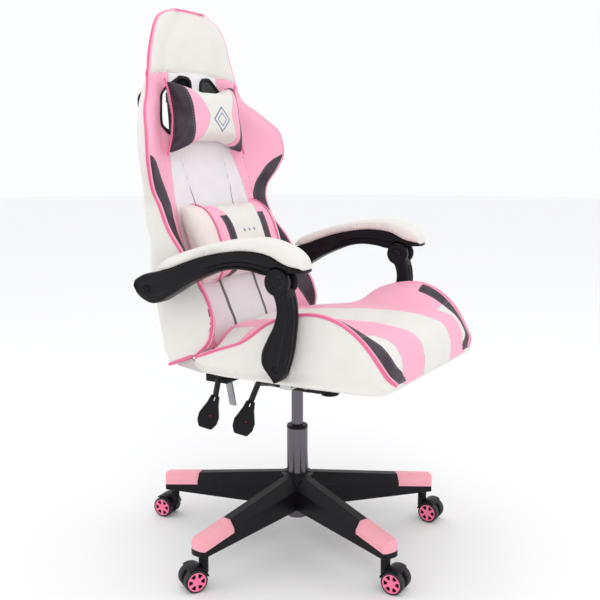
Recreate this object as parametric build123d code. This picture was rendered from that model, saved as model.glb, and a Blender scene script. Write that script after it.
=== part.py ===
"""High-back bucket chair on a five-legged caster base, with linkage armrests.

Frame: +Z up, the chair faces -Y, +X is the sitter's left.  The origin lies on the floor, on the axis
of the gas lift.  Millimetres and degrees.
"""
from build123d import *
import math
import os

# ---- fits and clearances ----
RUNNING = 0.05          # radial clearance of a shaft that turns or slides in its bore
SIDE_GAP = 0.5          # beside a part that turns next to another
SOFT_GAP = 1.5          # between the seat cushion and the back cushion

# ---- star base and casters ----
BASE_RADIUS = 350.0     # end of a leg
LEG_ANGLES = (-114.4, -42.4, 29.6, 101.6, 173.6)
HUB_TOP, HUB_BOTTOM = 157.0, 78.0
HUB_RADIUS = 38.0
LEG_END_TOP, LEG_END_BOTTOM = 114.0, 74.0
LEG_HALF_WIDTH_HUB, LEG_HALF_WIDTH_END = 28.0, 19.5
LEG_TOP_HALF_HUB, LEG_TOP_HALF_END = 9.0, 11.0
LEG_WALL = 4.0
CAP_LENGTH, CAP_DEPTH = 94.0, 27.0
CAP_PROUD = 0.8         # the cap stands this far proud of the leg's sides
END_ROUND = 12.0        # how blunt the rounded end of a leg is
SOCKET_INSET = 20.0     # caster socket from the leg's end
STEM_RADIUS, STEM_LENGTH = 5.5, 24.0
WHEEL_RADIUS, WHEEL_WIDTH = 25.0, 18.0
WHEEL_TRACK = 50.0      # over both wheels
CASTER_TRAIL = 25.0
CASTER_HEADINGS = (-90.2, -90.2, 40.0, 95.8, 148.8)
AXLE_RADIUS = 3.0
HOOD_THICK, HOOD_GAP = 3.0, 1.5
HOOD_TOP = 68.0
STEM_DEPTH = 22.0       # how far a stem reaches into its hood
INSERT_RADIUS, INSERT_THICK, INSERT_RECESS = 20.5, 3.0, 8.0

# ---- gas lift ----
COLUMN_RADIUS, COLUMN_WALL = 25.0, 2.5
COLUMN_FOOT_RADIUS = 24.0
COLUMN_BOTTOM, COLUMN_TOP = 50.0, 270.0
BUSH_FLANGE, BUSH_LENGTH = 7.0, 45.0
CYLINDER_RADIUS, CYLINDER_BORE = 14.0, 12.0
CYLINDER_LENGTH = 238.0
ROD_RADIUS, PISTON_LENGTH = 4.0, 10.0
BEARING_RADIUS, BEARING_HEIGHT = 9.0, 7.0

# ---- tilt mechanism ----
HOUSING_BOTTOM, HOUSING_TOP = 377.0, 404.0
HOUSING_HALF_WIDTH = 55.0
HOUSING_FRONT, HOUSING_REAR = -112.0, 48.0
TILT_Y, TILT_Z = -60.0, 391.0
TILT_PIN_RADIUS = 6.0
KNOB_RADIUS, KNOB_LENGTH = 22.0, 13.0
KNOB_Y = -88.0
KNOB_SHANK, KNOB_BORE_TOP = 5.1, 390.0
SPRING_RADIUS, SPRING_BORE, SPRING_LENGTH = 12.0, 7.0, 10.0
SPRING_FLOOR, SPRING_ROOF = 382.0, 399.0
PLATE_THICK = 4.0
PLATE_HALF_WIDTH, PLATE_FRONT, PLATE_REAR = 95.0, -130.0, 120.0
BOARD_BOTTOM, BOARD_THICK = 436.0, 10.0
BOARD_HALF_WIDTH, BOARD_FRONT, BOARD_REAR = 195.0, -290.0, 92.0

# ---- recliner ----
HINGE_Y, HINGE_Z = 180.0, 457.0
RECLINER_PIN_RADIUS, RECLINER_DISC = 7.0, 15.0
RECLINER_X, RECLINER_THICK = 202.0, 5.0
POCKET_RADIUS = 30.0

# ---- armrest linkage: back stud A, seat pivot B, front pivot C ----
ARM_CENTRE, ARM_WIDTH = 281.0, 40.0
PAD_WIDTH = 52.0
STUD_Y, STUD_Z = 198.0, 628.0
SEAT_PIVOT_Y, SEAT_PIVOT_Z = -127.0, 498.0
FRONT_PIVOT_Y, FRONT_PIVOT_Z = -133.0, 667.0
PIVOT_DISC, PIVOT_DISC_THICK, KNUCKLE_RADIUS = 27.0, 13.0, 19.0
ARM_PIN_RADIUS, STUD_RADIUS, STUD_PLAY = 6.0, 6.0, 2.4
DISC_PROUD, DISC_GAP = 3.0, 0.4
BRACKET_THICK = 3.5
BRACKET_HALF, BRACKET_EYE = 12.0, 14.0

# ---- seat and back ----
SEAT_BOTTOM = BOARD_BOTTOM + BOARD_THICK
LOWER_EDGE_RISE = 0.41  # slope of the back's lower edge
BACK_HOLE_INNER, BACK_HOLE_OUTER = 23.0, 124.0
BEZEL_WALL = 5.0
HEAD_THICK, LUMBAR_THICK = 92.0, 80.0
FRAME_X, FRAME_TUBE, FRAME_BAR = 168.0, 9.0, 5.0
STRAP_WIDTH, STRAP_Y = 20.0, 306.0
STRAP_LOW, STRAP_TOP = 971.0, 1078.0


def save(solid, node):
    solid.label = node
    export_step(solid, os.path.join("parts", node + ".step"))


def rod_x(radius, x_low, x_high, y, z):
    """Round bar along X."""
    bar = Cylinder(radius, x_high - x_low, align=(Align.CENTER, Align.CENTER, Align.MIN))
    return Location((x_low, y, z)) * Rotation(0, 90, 0) * bar


def rod_z(radius, z_low, z_high, x=0.0, y=0.0):
    """Round bar along Z."""
    return Location((x, y, z_low)) * Cylinder(
        radius, z_high - z_low, align=(Align.CENTER, Align.CENTER, Align.MIN)
    )


def taper_z(r_low, r_high, z_low, z_high):
    """Truncated cone along Z."""
    return Location((0, 0, z_low)) * Cone(
        r_low, r_high, z_high - z_low, align=(Align.CENTER, Align.CENTER, Align.MIN)
    )


def block(low, high):
    """Box between two corners."""
    size = [b - a for a, b in zip(low, high)]
    centre = [(a + b) / 2 for a, b in zip(low, high)]
    return Location(centre) * Box(*size)


def slab_x(outline, x_low, x_high):
    """A closed (y, z) outline, extruded along X."""
    face = make_face(outline)
    return extrude(Plane.YZ.offset(x_low) * face, amount=x_high - x_low)


def largest(shape):
    """The biggest solid of a cut shape."""
    return shape.solids().sort_by(SortBy.VOLUME)[-1]


def polygon(points):
    return Polyline(*points, close=True)


def stack(sections):
    """Solid through flat polygons with equal numbers of corners."""
    return loft([make_face(Polyline(*points, close=True)) for points in sections], ruled=True)


def mirrored(half):
    """Corners of a symmetric section from the half with x >= 0, listed from one end to the other."""
    return half + [(-x, y, z) for x, y, z in reversed(half) if x > 0]


def lerp(table, value):
    """Straight-line interpolation in a table of (value, result) pairs in rising order."""
    for (a, fa), (b, fb) in zip(table, table[1:]):
        if value <= b:
            return fa + (fb - fa) * max(0.0, value - a) / (b - a)
    return table[-1][1]


# ---------------------------------------------------------------- star base
SOCKET_RADIUS_POSITION = BASE_RADIUS - SOCKET_INSET
CAP_START = BASE_RADIUS - CAP_LENGTH
SOCKET_TOP = LEG_END_BOTTOM + STEM_LENGTH


def leg_top(radius):
    """Height of the leg's flat top at a distance from the axis."""
    return HUB_TOP + (LEG_END_TOP - HUB_TOP) * (radius - HUB_RADIUS) / (BASE_RADIUS - HUB_RADIUS)


def leg_section(radius, inset=0.0, drop=0.0):
    """Six-sided section of a leg: upright sides below, bevels up to a narrow flat top."""
    share = (radius - HUB_RADIUS) / (BASE_RADIUS - HUB_RADIUS)
    side = LEG_HALF_WIDTH_HUB + (LEG_HALF_WIDTH_END - LEG_HALF_WIDTH_HUB) * share - inset
    flat = LEG_TOP_HALF_HUB + (LEG_TOP_HALF_END - LEG_TOP_HALF_HUB) * share - inset / 2
    low = HUB_BOTTOM + (LEG_END_BOTTOM - HUB_BOTTOM) * share - drop
    high = leg_top(radius) - inset
    shoulder = leg_top(radius) - 0.36 * (leg_top(radius) - low) - inset
    return [
        (radius, -side, low), (radius, side, low), (radius, side, shoulder),
        (radius, flat, high), (radius, -flat, high), (radius, -side, shoulder),
    ]


def leg_end_plan():
    """Upright prism that rounds the end of a leg."""
    plan = Location((BASE_RADIUS / 2, 0, 0)) * Rectangle(BASE_RADIUS, 2 * (LEG_HALF_WIDTH_END + END_ROUND))
    body = extrude(plan, amount=HUB_TOP + 20)
    ends = [e for e in body.edges().filter_by(Axis.Z) if e.center().X > BASE_RADIUS / 2]
    return fillet(ends, LEG_HALF_WIDTH_END + END_ROUND / 2)


def cap_zone(grow):
    """Region above the cap's seat, outside the cap's inner end."""
    seat = [
        (CAP_START, leg_top(CAP_START) - CAP_DEPTH),
        (BASE_RADIUS + 5, leg_top(BASE_RADIUS + 5) - CAP_DEPTH),
        (BASE_RADIUS + 5, HUB_TOP + 20),
        (CAP_START, HUB_TOP + 20),
    ]
    face = make_face(Polyline(*seat, close=True))
    half = LEG_HALF_WIDTH_HUB + grow
    return extrude(Plane.XZ.offset(-half) * face, amount=2 * half)


def make_leg():
    outer = stack([leg_section(HUB_RADIUS - 20), leg_section(BASE_RADIUS)]) & leg_end_plan()
    hollow_end = CAP_START - 8
    cavity = stack([
        leg_section(HUB_RADIUS + 12, LEG_WALL, 6.0), leg_section(hollow_end, LEG_WALL, 6.0),
    ])
    ribs = [HUB_RADIUS + 45 + 40 * i for i in range(4)]
    for radius in ribs:
        cavity -= block((radius - 1.5, -40, 0), (radius + 1.5, 40, 200))
    leg = outer - cavity - cap_zone(1.0)
    return leg - rod_z(STEM_RADIUS, 0, SOCKET_TOP, SOCKET_RADIUS_POSITION)


def make_cap():
    grown = stack([leg_section(CAP_START, -CAP_PROUD), leg_section(BASE_RADIUS, -CAP_PROUD)])
    cap = grown & leg_end_plan() & cap_zone(3.0)
    return cap - rod_z(STEM_RADIUS, 0, SOCKET_TOP, SOCKET_RADIUS_POSITION)


def column_bore():
    """Shape of the gas lift's outer tube where it sits in the hub."""
    return taper_z(COLUMN_FOOT_RADIUS, COLUMN_RADIUS, HUB_BOTTOM - 3, HUB_TOP)


def build_base():
    leg, cap = make_leg(), make_cap()
    star = rod_z(HUB_RADIUS, HUB_BOTTOM - 3, HUB_TOP)
    for angle in LEG_ANGLES:
        star += Rotation(0, 0, angle) * leg
        ridge = block((HUB_RADIUS - 4, -3, HUB_BOTTOM), (HUB_RADIUS + 3, 3, HUB_TOP - 4))
        star += Rotation(0, 0, angle + 36) * ridge
    star -= column_bore()
    star -= rod_z(COLUMN_RADIUS, HUB_TOP, HUB_TOP + 10)
    star -= rod_z(COLUMN_FOOT_RADIUS, 0, HUB_BOTTOM)
    save(star, "star_base")
    save(Compound(children=[Rotation(0, 0, a) * cap for a in LEG_ANGLES]), "leg_caps")
    stem = rod_z(STEM_RADIUS, LEG_END_BOTTOM, SOCKET_TOP, SOCKET_RADIUS_POSITION)
    stem += rod_z(STEM_RADIUS + 3, HOOD_TOP + SIDE_GAP, LEG_END_BOTTOM, SOCKET_RADIUS_POSITION)
    stem += rod_z(STEM_RADIUS, HOOD_TOP - STEM_DEPTH, LEG_END_BOTTOM, SOCKET_RADIUS_POSITION)
    save(Compound(children=[Rotation(0, 0, a) * stem for a in LEG_ANGLES]), "caster_stems")


# ---------------------------------------------------------------- casters
def rod_y(radius, y_low, y_high, x, z):
    """Round bar along Y."""
    bar = Cylinder(radius, y_high - y_low, align=(Align.CENTER, Align.CENTER, Align.MIN))
    return Location((x, y_low, z)) * Rotation(-90, 0, 0) * bar


def make_hood():
    """Arch over both wheels, a web between them and a boss for the stem; it trails along +X."""
    inner = WHEEL_RADIUS + HOOD_GAP
    outer = inner + HOOD_THICK
    web = WHEEL_TRACK / 2 - WHEEL_WIDTH - SIDE_GAP
    half = WHEEL_TRACK / 2 - 3
    arch = rod_y(outer, -half, half, CASTER_TRAIL, WHEEL_RADIUS)
    arch &= block((-20, -half, WHEEL_RADIUS + 6), (CASTER_TRAIL + 14, half, HOOD_TOP))
    boss = rod_z(STEM_RADIUS + 5, WHEEL_RADIUS + 8, HOOD_TOP)
    rib = block((-STEM_RADIUS, -web, WHEEL_RADIUS - 8), (CASTER_TRAIL + 8, web, WHEEL_RADIUS + 26))
    hood = arch + boss + rib
    for side in (-1, 1):
        low, high = sorted((side * web, side * (WHEEL_TRACK / 2 + 5)))
        hood -= rod_y(inner, low, high, CASTER_TRAIL, WHEEL_RADIUS)
    hood -= rod_z(STEM_RADIUS + RUNNING, HOOD_TOP - STEM_DEPTH - 1, HOOD_TOP + 1)
    return hood - rod_y(AXLE_RADIUS + RUNNING, -web - 1, web + 1, CASTER_TRAIL, WHEEL_RADIUS)


def make_wheel():
    """One tyre with its disc, from y = 0 outwards to +Y, recessed for the insert."""
    wheel = rod_y(WHEEL_RADIUS, 0, WHEEL_WIDTH, 0, 0)
    wheel = fillet(wheel.edges().filter_by(GeomType.CIRCLE), 3.0)
    wheel -= rod_y(INSERT_RADIUS, WHEEL_WIDTH - INSERT_RECESS, WHEEL_WIDTH + 1, 0, 0)
    return wheel - rod_y(AXLE_RADIUS, -1, WHEEL_WIDTH, 0, 0)


def make_insert():
    """Six-spoke disc that closes the recess, with a boss down to the wheel's floor."""
    insert = rod_y(INSERT_RADIUS, WHEEL_WIDTH - INSERT_THICK, WHEEL_WIDTH, 0, 0)
    opening = [(9.0, -2.6), (17.0, -6.0), (18.2, 0.0), (17.0, 6.0), (9.0, 2.6)]
    for k in range(6):
        window = make_face(Polyline(*opening, close=True))
        cutter = extrude(Plane.XZ.offset(-WHEEL_WIDTH - 1) * window, amount=INSERT_THICK + 3)
        insert -= Rotation(0, 60 * k, 0) * cutter
    boss = rod_y(AXLE_RADIUS + 3, WHEEL_WIDTH - INSERT_RECESS, WHEEL_WIDTH - INSERT_THICK, 0, 0)
    return insert + boss - rod_y(AXLE_RADIUS, 0, WHEEL_WIDTH - INSERT_THICK, 0, 0)


def pair(piece):
    """The piece beside each face of the hood's web, the second turned round."""
    offset = WHEEL_TRACK / 2 - WHEEL_WIDTH
    one = Location((0, offset, 0)) * piece
    return [one, Rotation(0, 0, 180) * one]


def build_casters():
    hood, wheel, insert = make_hood(), make_wheel(), make_insert()
    axle_half = WHEEL_TRACK / 2 - INSERT_THICK
    for k, (angle, heading) in enumerate(zip(LEG_ANGLES, CASTER_HEADINGS), start=1):
        stem = Location((
            SOCKET_RADIUS_POSITION * math.cos(math.radians(angle)),
            SOCKET_RADIUS_POSITION * math.sin(math.radians(angle)), 0,
        )) * Rotation(0, 0, heading)
        axle = stem * Location((CASTER_TRAIL, 0, WHEEL_RADIUS))
        save(stem * hood, f"caster_hood_{k}")
        save(Compound(children=[axle * p for p in pair(wheel)]), f"caster_wheels_{k}")
        save(Compound(children=[axle * p for p in pair(insert)]), f"hub_inserts_{k}")
        save(axle * rod_y(AXLE_RADIUS, -axle_half, axle_half, 0, 0), f"caster_axle_{k}")


# ---------------------------------------------------------------- gas lift
BUSH_TOP = COLUMN_TOP + BUSH_FLANGE
CYLINDER_BOTTOM = HOUSING_BOTTOM + 20 - CYLINDER_LENGTH
FLOOR_PLATE = 3.0


def build_gas_lift():
    inner = COLUMN_RADIUS - COLUMN_WALL
    column = rod_z(COLUMN_RADIUS, HUB_TOP, COLUMN_TOP) + column_bore()
    column += rod_z(COLUMN_FOOT_RADIUS, COLUMN_BOTTOM, HUB_BOTTOM - 3)
    foot_inner = COLUMN_FOOT_RADIUS - COLUMN_WALL
    column -= rod_z(foot_inner, COLUMN_BOTTOM + FLOOR_PLATE, HUB_TOP)
    column -= rod_z(inner, HUB_TOP, COLUMN_TOP)
    column -= rod_z(ROD_RADIUS + RUNNING, 0, COLUMN_BOTTOM + FLOOR_PLATE)
    save(column, "gas_column")

    bush = rod_z(COLUMN_RADIUS, COLUMN_TOP, BUSH_TOP) + rod_z(inner, COLUMN_TOP - BUSH_LENGTH, COLUMN_TOP)
    bush = chamfer(bush.edges().group_by(Axis.Z)[-1], 1.5)
    save(bush - rod_z(CYLINDER_RADIUS + RUNNING, 0, BUSH_TOP), "column_bush")

    cylinder_top = CYLINDER_BOTTOM + CYLINDER_LENGTH
    cylinder = rod_z(CYLINDER_RADIUS, CYLINDER_BOTTOM, HOUSING_BOTTOM)
    cylinder += taper_z(CYLINDER_RADIUS, CYLINDER_RADIUS - 0.8, HOUSING_BOTTOM, cylinder_top)
    cylinder -= rod_z(CYLINDER_BORE, CYLINDER_BOTTOM + 10, cylinder_top - 12)
    cylinder -= rod_z(ROD_RADIUS + RUNNING, CYLINDER_BOTTOM - 1, CYLINDER_BOTTOM + 10)
    save(cylinder, "gas_cylinder")

    piston_bottom = CYLINDER_BOTTOM + 12
    bearing_top = COLUMN_BOTTOM + FLOOR_PLATE + 0.2 + BEARING_HEIGHT
    rod = rod_z(ROD_RADIUS, COLUMN_BOTTOM - 6, piston_bottom)
    rod += rod_z(CYLINDER_BORE - RUNNING, piston_bottom, piston_bottom + PISTON_LENGTH)
    rod += rod_z(ROD_RADIUS + 4, bearing_top, bearing_top + 4)
    save(rod, "piston_rod")
    race = rod_z(BEARING_RADIUS, bearing_top - BEARING_HEIGHT, bearing_top)
    race -= rod_z(ROD_RADIUS, 0, bearing_top)
    clip = rod_z(ROD_RADIUS + 4, COLUMN_BOTTOM - 3, COLUMN_BOTTOM - 0.5)
    clip -= rod_z(ROD_RADIUS, 0, COLUMN_BOTTOM)
    save(Compound(children=[race, clip]), "rod_bearing_and_clip")


# ---------------------------------------------------------------- tilt mechanism
PLATE_TOP = BOARD_BOTTOM
EAR_X = HOUSING_HALF_WIDTH + SIDE_GAP
EAR_THICK = 5.0
BOLT_X, BOLT_FRONT_Y, BOLT_REAR_Y, BOLT_RADIUS = 76.0, -112.0, 100.0, 4.0
PADDLE_THICK = 12.0
LEVER_RADIUS, LEVER_BEND = 6.5, 18.0
HEIGHT_LEVER = ((-31.0, 16.0, 394.0), (-84.0, 16.0, 394.0), (-162.0, 3.0, 415.0), (-217.0, -14.0, 389.0))
RECLINE_LEVER = ((-123.0, 95.0, 421.0), (-183.0, 95.0, 421.0), (-217.0, 80.0, 388.0))
LEVER_BLOCK = ((-172.0, 82.0, 404.0), (-122.5, 139.0, BOARD_BOTTOM))
LOCK_BAR_Y, LOCK_BAR_Z, LOCK_BAR_X = 92.0, 396.0, -150.0
NOTCH = ((-BOARD_HALF_WIDTH - 1, -40.0), (-140.0, 45.0))


def build_mechanism():
    profile = [
        (HOUSING_FRONT, 385), (HOUSING_FRONT + 22, HOUSING_BOTTOM), (HOUSING_REAR - 10, HOUSING_BOTTOM),
        (HOUSING_REAR, HOUSING_BOTTOM + 8), (HOUSING_REAR, HOUSING_TOP - 8), (HOUSING_REAR - 20, HOUSING_TOP),
        (TILT_Y - 16, HOUSING_TOP), (HOUSING_FRONT, HOUSING_TOP - 6),
    ]
    housing = slab_x(polygon(profile), -HOUSING_HALF_WIDTH, HOUSING_HALF_WIDTH)
    upright = [e for e in housing.edges().filter_by(Axis.X)]
    housing = fillet(upright, 3.0)
    cone_top = CYLINDER_BOTTOM + CYLINDER_LENGTH
    housing -= taper_z(CYLINDER_RADIUS, CYLINDER_RADIUS - 0.8, HOUSING_BOTTOM, cone_top)
    housing -= rod_x(TILT_PIN_RADIUS, -60, 60, TILT_Y, TILT_Z)
    housing -= block((-30, HOUSING_FRONT + 8, SPRING_FLOOR), (30, TILT_Y - 11, SPRING_ROOF))
    housing -= rod_z(KNOB_SHANK + 2 * RUNNING, HOUSING_BOTTOM - 2, KNOB_BORE_TOP, 0, KNOB_Y)
    lever_root = HEIGHT_LEVER[0]
    housing -= rod_x(LEVER_RADIUS + RUNNING, -HOUSING_HALF_WIDTH - 1, -30, lever_root[1], lever_root[2])
    save(housing, "tilt_housing")
    ear_outer = EAR_X + EAR_THICK
    save(rod_x(TILT_PIN_RADIUS, -ear_outer - 4, ear_outer + 4, TILT_Y, TILT_Z), "tilt_pin")

    spring = rod_z(SPRING_RADIUS, SPRING_FLOOR + 1, SPRING_FLOOR + 1 + SPRING_LENGTH, 0, KNOB_Y)
    spring -= rod_z(SPRING_BORE, SPRING_FLOOR - 2, SPRING_ROOF, 0, KNOB_Y)
    save(spring, "tilt_spring")
    knob = rod_z(KNOB_RADIUS, HOUSING_BOTTOM - 2 - KNOB_LENGTH, HOUSING_BOTTOM - 2, 0, KNOB_Y)
    knob = chamfer(knob.edges().filter_by(GeomType.CIRCLE), 2.5)
    for k in range(8):
        away = KNOB_RADIUS + 3
        x, y = away * math.cos(k * math.pi / 4), away * math.sin(k * math.pi / 4)
        knob -= rod_z(6.0, 0, HOUSING_BOTTOM, x, KNOB_Y + y)
    knob += rod_z(KNOB_SHANK, HOUSING_BOTTOM - 2, SPRING_FLOOR + 0.8, 0, KNOB_Y)
    save(knob, "tension_knob")


def lever_rod(route, radius):
    """Round lever along straight runs joined by arcs."""
    path = FilletPolyline(*route, radius=LEVER_BEND)
    start = Vector(*route[1]) - Vector(*route[0])
    section = Plane(origin=route[0], z_dir=start) * Circle(radius)
    return sweep(section, path=path)


def paddle(top, drop_angle, turn):
    """Flat teardrop handle that hangs outwards and down from the lever's end, its face to the front."""
    length, wide, neck = 74.0, 23.0, 9.0
    half = [(0, neck), (18, 13), (44, wide), (length - 14, wide - 1), (length, wide - 9)]
    outline = Polyline(*half, *[(a, -b) for a, b in reversed(half)], close=True)
    plate = extrude(make_face(outline), amount=PADDLE_THICK / 2, both=True)
    corners = [e for e in plate.edges().filter_by(Axis.Z) if e.center().X > length / 2]
    plate = fillet(corners, 6.0)
    plate = fillet(plate.faces().filter_by(Axis.Z).edges(), 2.5)
    socket = rod_x(LEVER_RADIUS, -1, 12, 0, 0)
    plate -= socket
    pose = Location(top) * Rotation(0, 0, 180 + turn) * Rotation(0, drop_angle, 0) * Rotation(-26, 0, 0)
    return pose * plate


def build_levers():
    for name, route, turn in (("height", HEIGHT_LEVER, -8.0), ("recline", RECLINE_LEVER, -8.0)):
        handle = paddle(route[-1], 62.0, turn)
        rod = lever_rod(route, LEVER_RADIUS) - handle
        save(largest(rod), f"{name}_lever_rod")
        save(handle, f"{name}_paddle")
    low, high = LEVER_BLOCK
    bracket = block(low, high)
    root = RECLINE_LEVER[0]
    bracket -= rod_x(LEVER_RADIUS + 2.0, low[0] - 1, high[0] + 1, root[1], root[2])
    slot_low = (LOCK_BAR_X - 3.5, LOCK_BAR_Y - 13, LOCK_BAR_Z - 2)
    bracket -= block(slot_low, (LOCK_BAR_X + 3.5, LOCK_BAR_Y + 15, 412))
    save(bracket, "lever_bracket")


# ---------------------------------------------------------------- seat structure
def build_seat_structure():
    plate_bottom = PLATE_TOP - PLATE_THICK
    plate = block((-PLATE_HALF_WIDTH, PLATE_FRONT, plate_bottom), (PLATE_HALF_WIDTH, PLATE_REAR, PLATE_TOP))
    ear = [
        (TILT_Y - 16, TILT_Z - 4), (TILT_Y - 8, TILT_Z - 13), (TILT_Y + 8, TILT_Z - 13),
        (TILT_Y + 16, TILT_Z - 4), (TILT_Y + 40, plate_bottom), (TILT_Y - 40, plate_bottom),
    ]
    for side in (-1, 1):
        low, high = sorted((side * EAR_X, side * (EAR_X + EAR_THICK)))
        plate += slab_x(polygon(ear), low, high)
    plate -= rod_x(TILT_PIN_RADIUS + RUNNING, -80, 80, TILT_Y, TILT_Z)
    bolts = []
    for x in (-BOLT_X, BOLT_X):
        for y in (BOLT_FRONT_Y, BOLT_REAR_Y):
            plate -= rod_z(BOLT_RADIUS, PLATE_TOP - 10, PLATE_TOP + 1, x, y)
            shank = rod_z(BOLT_RADIUS, plate_bottom, PLATE_TOP + BOARD_THICK, x, y)
            bolts.append(shank + rod_z(BOLT_RADIUS * 1.8, plate_bottom - 5, plate_bottom, x, y))
    save(plate, "seat_plate")
    save(Compound(children=bolts), "seat_bolts")

    board = block((-BOARD_HALF_WIDTH, BOARD_FRONT, BOARD_BOTTOM), (BOARD_HALF_WIDTH, BOARD_REAR, SEAT_BOTTOM))
    board = fillet(board.edges().filter_by(Axis.Z), 30)
    board -= block((*NOTCH[0], 400), (*NOTCH[1], 460))
    for bolt in bolts:
        board -= bolt
    arm_foot = arm_bracket_pair()
    board -= arm_foot
    seats = recliner_seat_pair()
    board -= seats
    save(board, "seat_board")
    save(arm_foot, "arm_brackets")
    save(seats, "recliner_seat_plates")
    pins = []
    for side in (-1, 1):
        low, high = sorted((side * (RECLINER_X - 14), side * (RECLINER_X + 2 * RECLINER_THICK + 1)))
        pins.append(rod_x(RECLINER_PIN_RADIUS, low, high, HINGE_Y, HINGE_Z))
    save(Compound(children=pins), "recliner_pins")


BRACKET_X = ARM_CENTRE - ARM_WIDTH / 2 - SIDE_GAP - BRACKET_THICK
FOOT_TOP = SEAT_BOTTOM - 1.0


def arm_bracket_pair():
    """Steel feet from under the board out to each post, with the lower pivot on a pin."""
    sides = []
    for side in (-1, 1):
        low, high = sorted((side * 120.0, side * (BRACKET_X + BRACKET_THICK)))
        front, rear = SEAT_PIVOT_Y - BRACKET_HALF, SEAT_PIVOT_Y + BRACKET_HALF
        foot = block((low, front, FOOT_TOP - BRACKET_THICK), (high, rear, FOOT_TOP))
        low, high = sorted((side * BRACKET_X, side * (BRACKET_X + BRACKET_THICK)))
        web = block((low, front, FOOT_TOP - BRACKET_THICK), (high, rear, SEAT_PIVOT_Z))
        cap = rod_x(BRACKET_EYE, low, high, SEAT_PIVOT_Y, SEAT_PIVOT_Z)
        low, high = sorted((side * (BRACKET_X + BRACKET_THICK), side * (ARM_CENTRE + ARM_WIDTH / 2 - 6)))
        pin = rod_x(ARM_PIN_RADIUS, low, high, SEAT_PIVOT_Y, SEAT_PIVOT_Z)
        sides.append(foot + web + cap + pin)
    return Compound(children=sides)


def recliner_seat_pair():
    """Plates that carry the back's hinge, rising from the rear of the board."""
    outline = [
        (20, BOARD_BOTTOM), (BOARD_REAR + 30, BOARD_BOTTOM - 2), (HINGE_Y + 4, HINGE_Z - RECLINER_DISC),
        (HINGE_Y, HINGE_Z), (HINGE_Y - 16, HINGE_Z + 14), (BOARD_REAR + 22, SEAT_BOTTOM), (20, SEAT_BOTTOM),
    ]
    sides = []
    for side in (-1, 1):
        start = RECLINER_X + RECLINER_THICK + 0.5
        low, high = sorted((side * start, side * (start + RECLINER_THICK)))
        plate = slab_x(polygon(outline), low, high) + rod_x(RECLINER_DISC, low, high, HINGE_Y, HINGE_Z)
        inner, outer = sorted((side * 150.0, side * start))
        plate += block((inner, 30, BOARD_BOTTOM), (outer, 60, BOARD_BOTTOM + 4))
        sides.append(plate - rod_x(RECLINER_PIN_RADIUS, low, high, HINGE_Y, HINGE_Z))
    return Compound(children=sides)


# ---------------------------------------------------------------- soft seat
# stations along the seat: y, half-width, side bottom, bolster top, pan height, pan half-width
SEAT_STATIONS = (
    (-355.0, 176.0, 458.0, 478.0, 500.0, 150.0),
    (-346.0, 202.0, 453.0, 484.0, 530.0, 158.0),
    (-330.0, 218.0, 448.0, 494.0, 544.0, 162.0),
    (-300.0, 232.0, 446.5, 546.0, 552.0, 165.0),
    (-262.0, 242.0, 446.5, 580.0, 557.0, 168.0),
    (-213.0, 250.0, 446.5, 600.0, 558.0, 168.0),
    (-153.0, 257.0, 446.5, 597.0, 556.0, 168.0),
    (-90.0, 256.5, 446.5, 578.0, 550.0, 168.0),
    (-20.0, 256.0, 446.5, 528.0, 544.0, 168.0),
    (45.0, 255.0, 446.5, 504.0, 536.0, 165.0),
    (88.0, 252.0, 450.0, 487.0, 528.0, 160.0),
    (108.0, 244.0, 462.0, 480.0, 505.0, 150.0),
)


def wing_rest(x_low, x_high):
    """Room at the seat's rear corners for the back's wings, which come down beside the pan."""
    front = [(lerp(WING_Y, z) - SOFT_GAP, z) for z in (560, 530, 509)]
    corner_y = lerp(WING_Y, 490)
    edge = [(y, lower_edge(y) - SOFT_GAP) for y in (corner_y - SOFT_GAP, corner_y + 40)]
    return slab_x(polygon(front + edge + [(corner_y + 40, 560)]), x_low, x_high)


def seat_section(y, half, low, bolster, pan, pan_half):
    """Half a seat section: flat below, bulged side, bolster ridge, then the pan."""
    ridge = max(bolster, low + 12)
    slope = (pan_half + half) / 2
    return mirrored([
        (0, y, low + 0.01), (half - 34, y, low), (half - 5, y, low + 6), (half, y, (low + ridge) / 2),
        (half - 3, y, ridge), (half - 20, y, max(ridge, pan - 26) + 3),
        (slope - 6, y, max(ridge, pan - 14) * 0.5 + pan * 0.5), (pan_half - 20, y, pan - 2), (0, y, pan),
    ])


def build_seat_cushion():
    cushion = stack([seat_section(*station) for station in SEAT_STATIONS])
    pocket = block((-BOARD_HALF_WIDTH - 20, BOARD_FRONT - 10, 400), (BOARD_HALF_WIDTH + 20, 125, SEAT_BOTTOM))
    cushion -= pocket
    for side in (-1, 1):
        low, high = sorted((side * (RECLINER_X - 1), side * (RECLINER_X + 2 * RECLINER_THICK + 2)))
        cushion -= block((low, 10, 440), (high, 130, SEAT_BOTTOM + 8))
        low, high = sorted((side * (BRACKET_X - 0.5), side * 300))
        cushion -= block((low, SEAT_PIVOT_Y - 24, 430), (high, SEAT_PIVOT_Y + 24, SEAT_PIVOT_Z + 24))
        low, high = sorted((side * 172, side * 300))
        cushion -= wing_rest(low, high)
    save(cushion, "seat_cushion")


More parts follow.
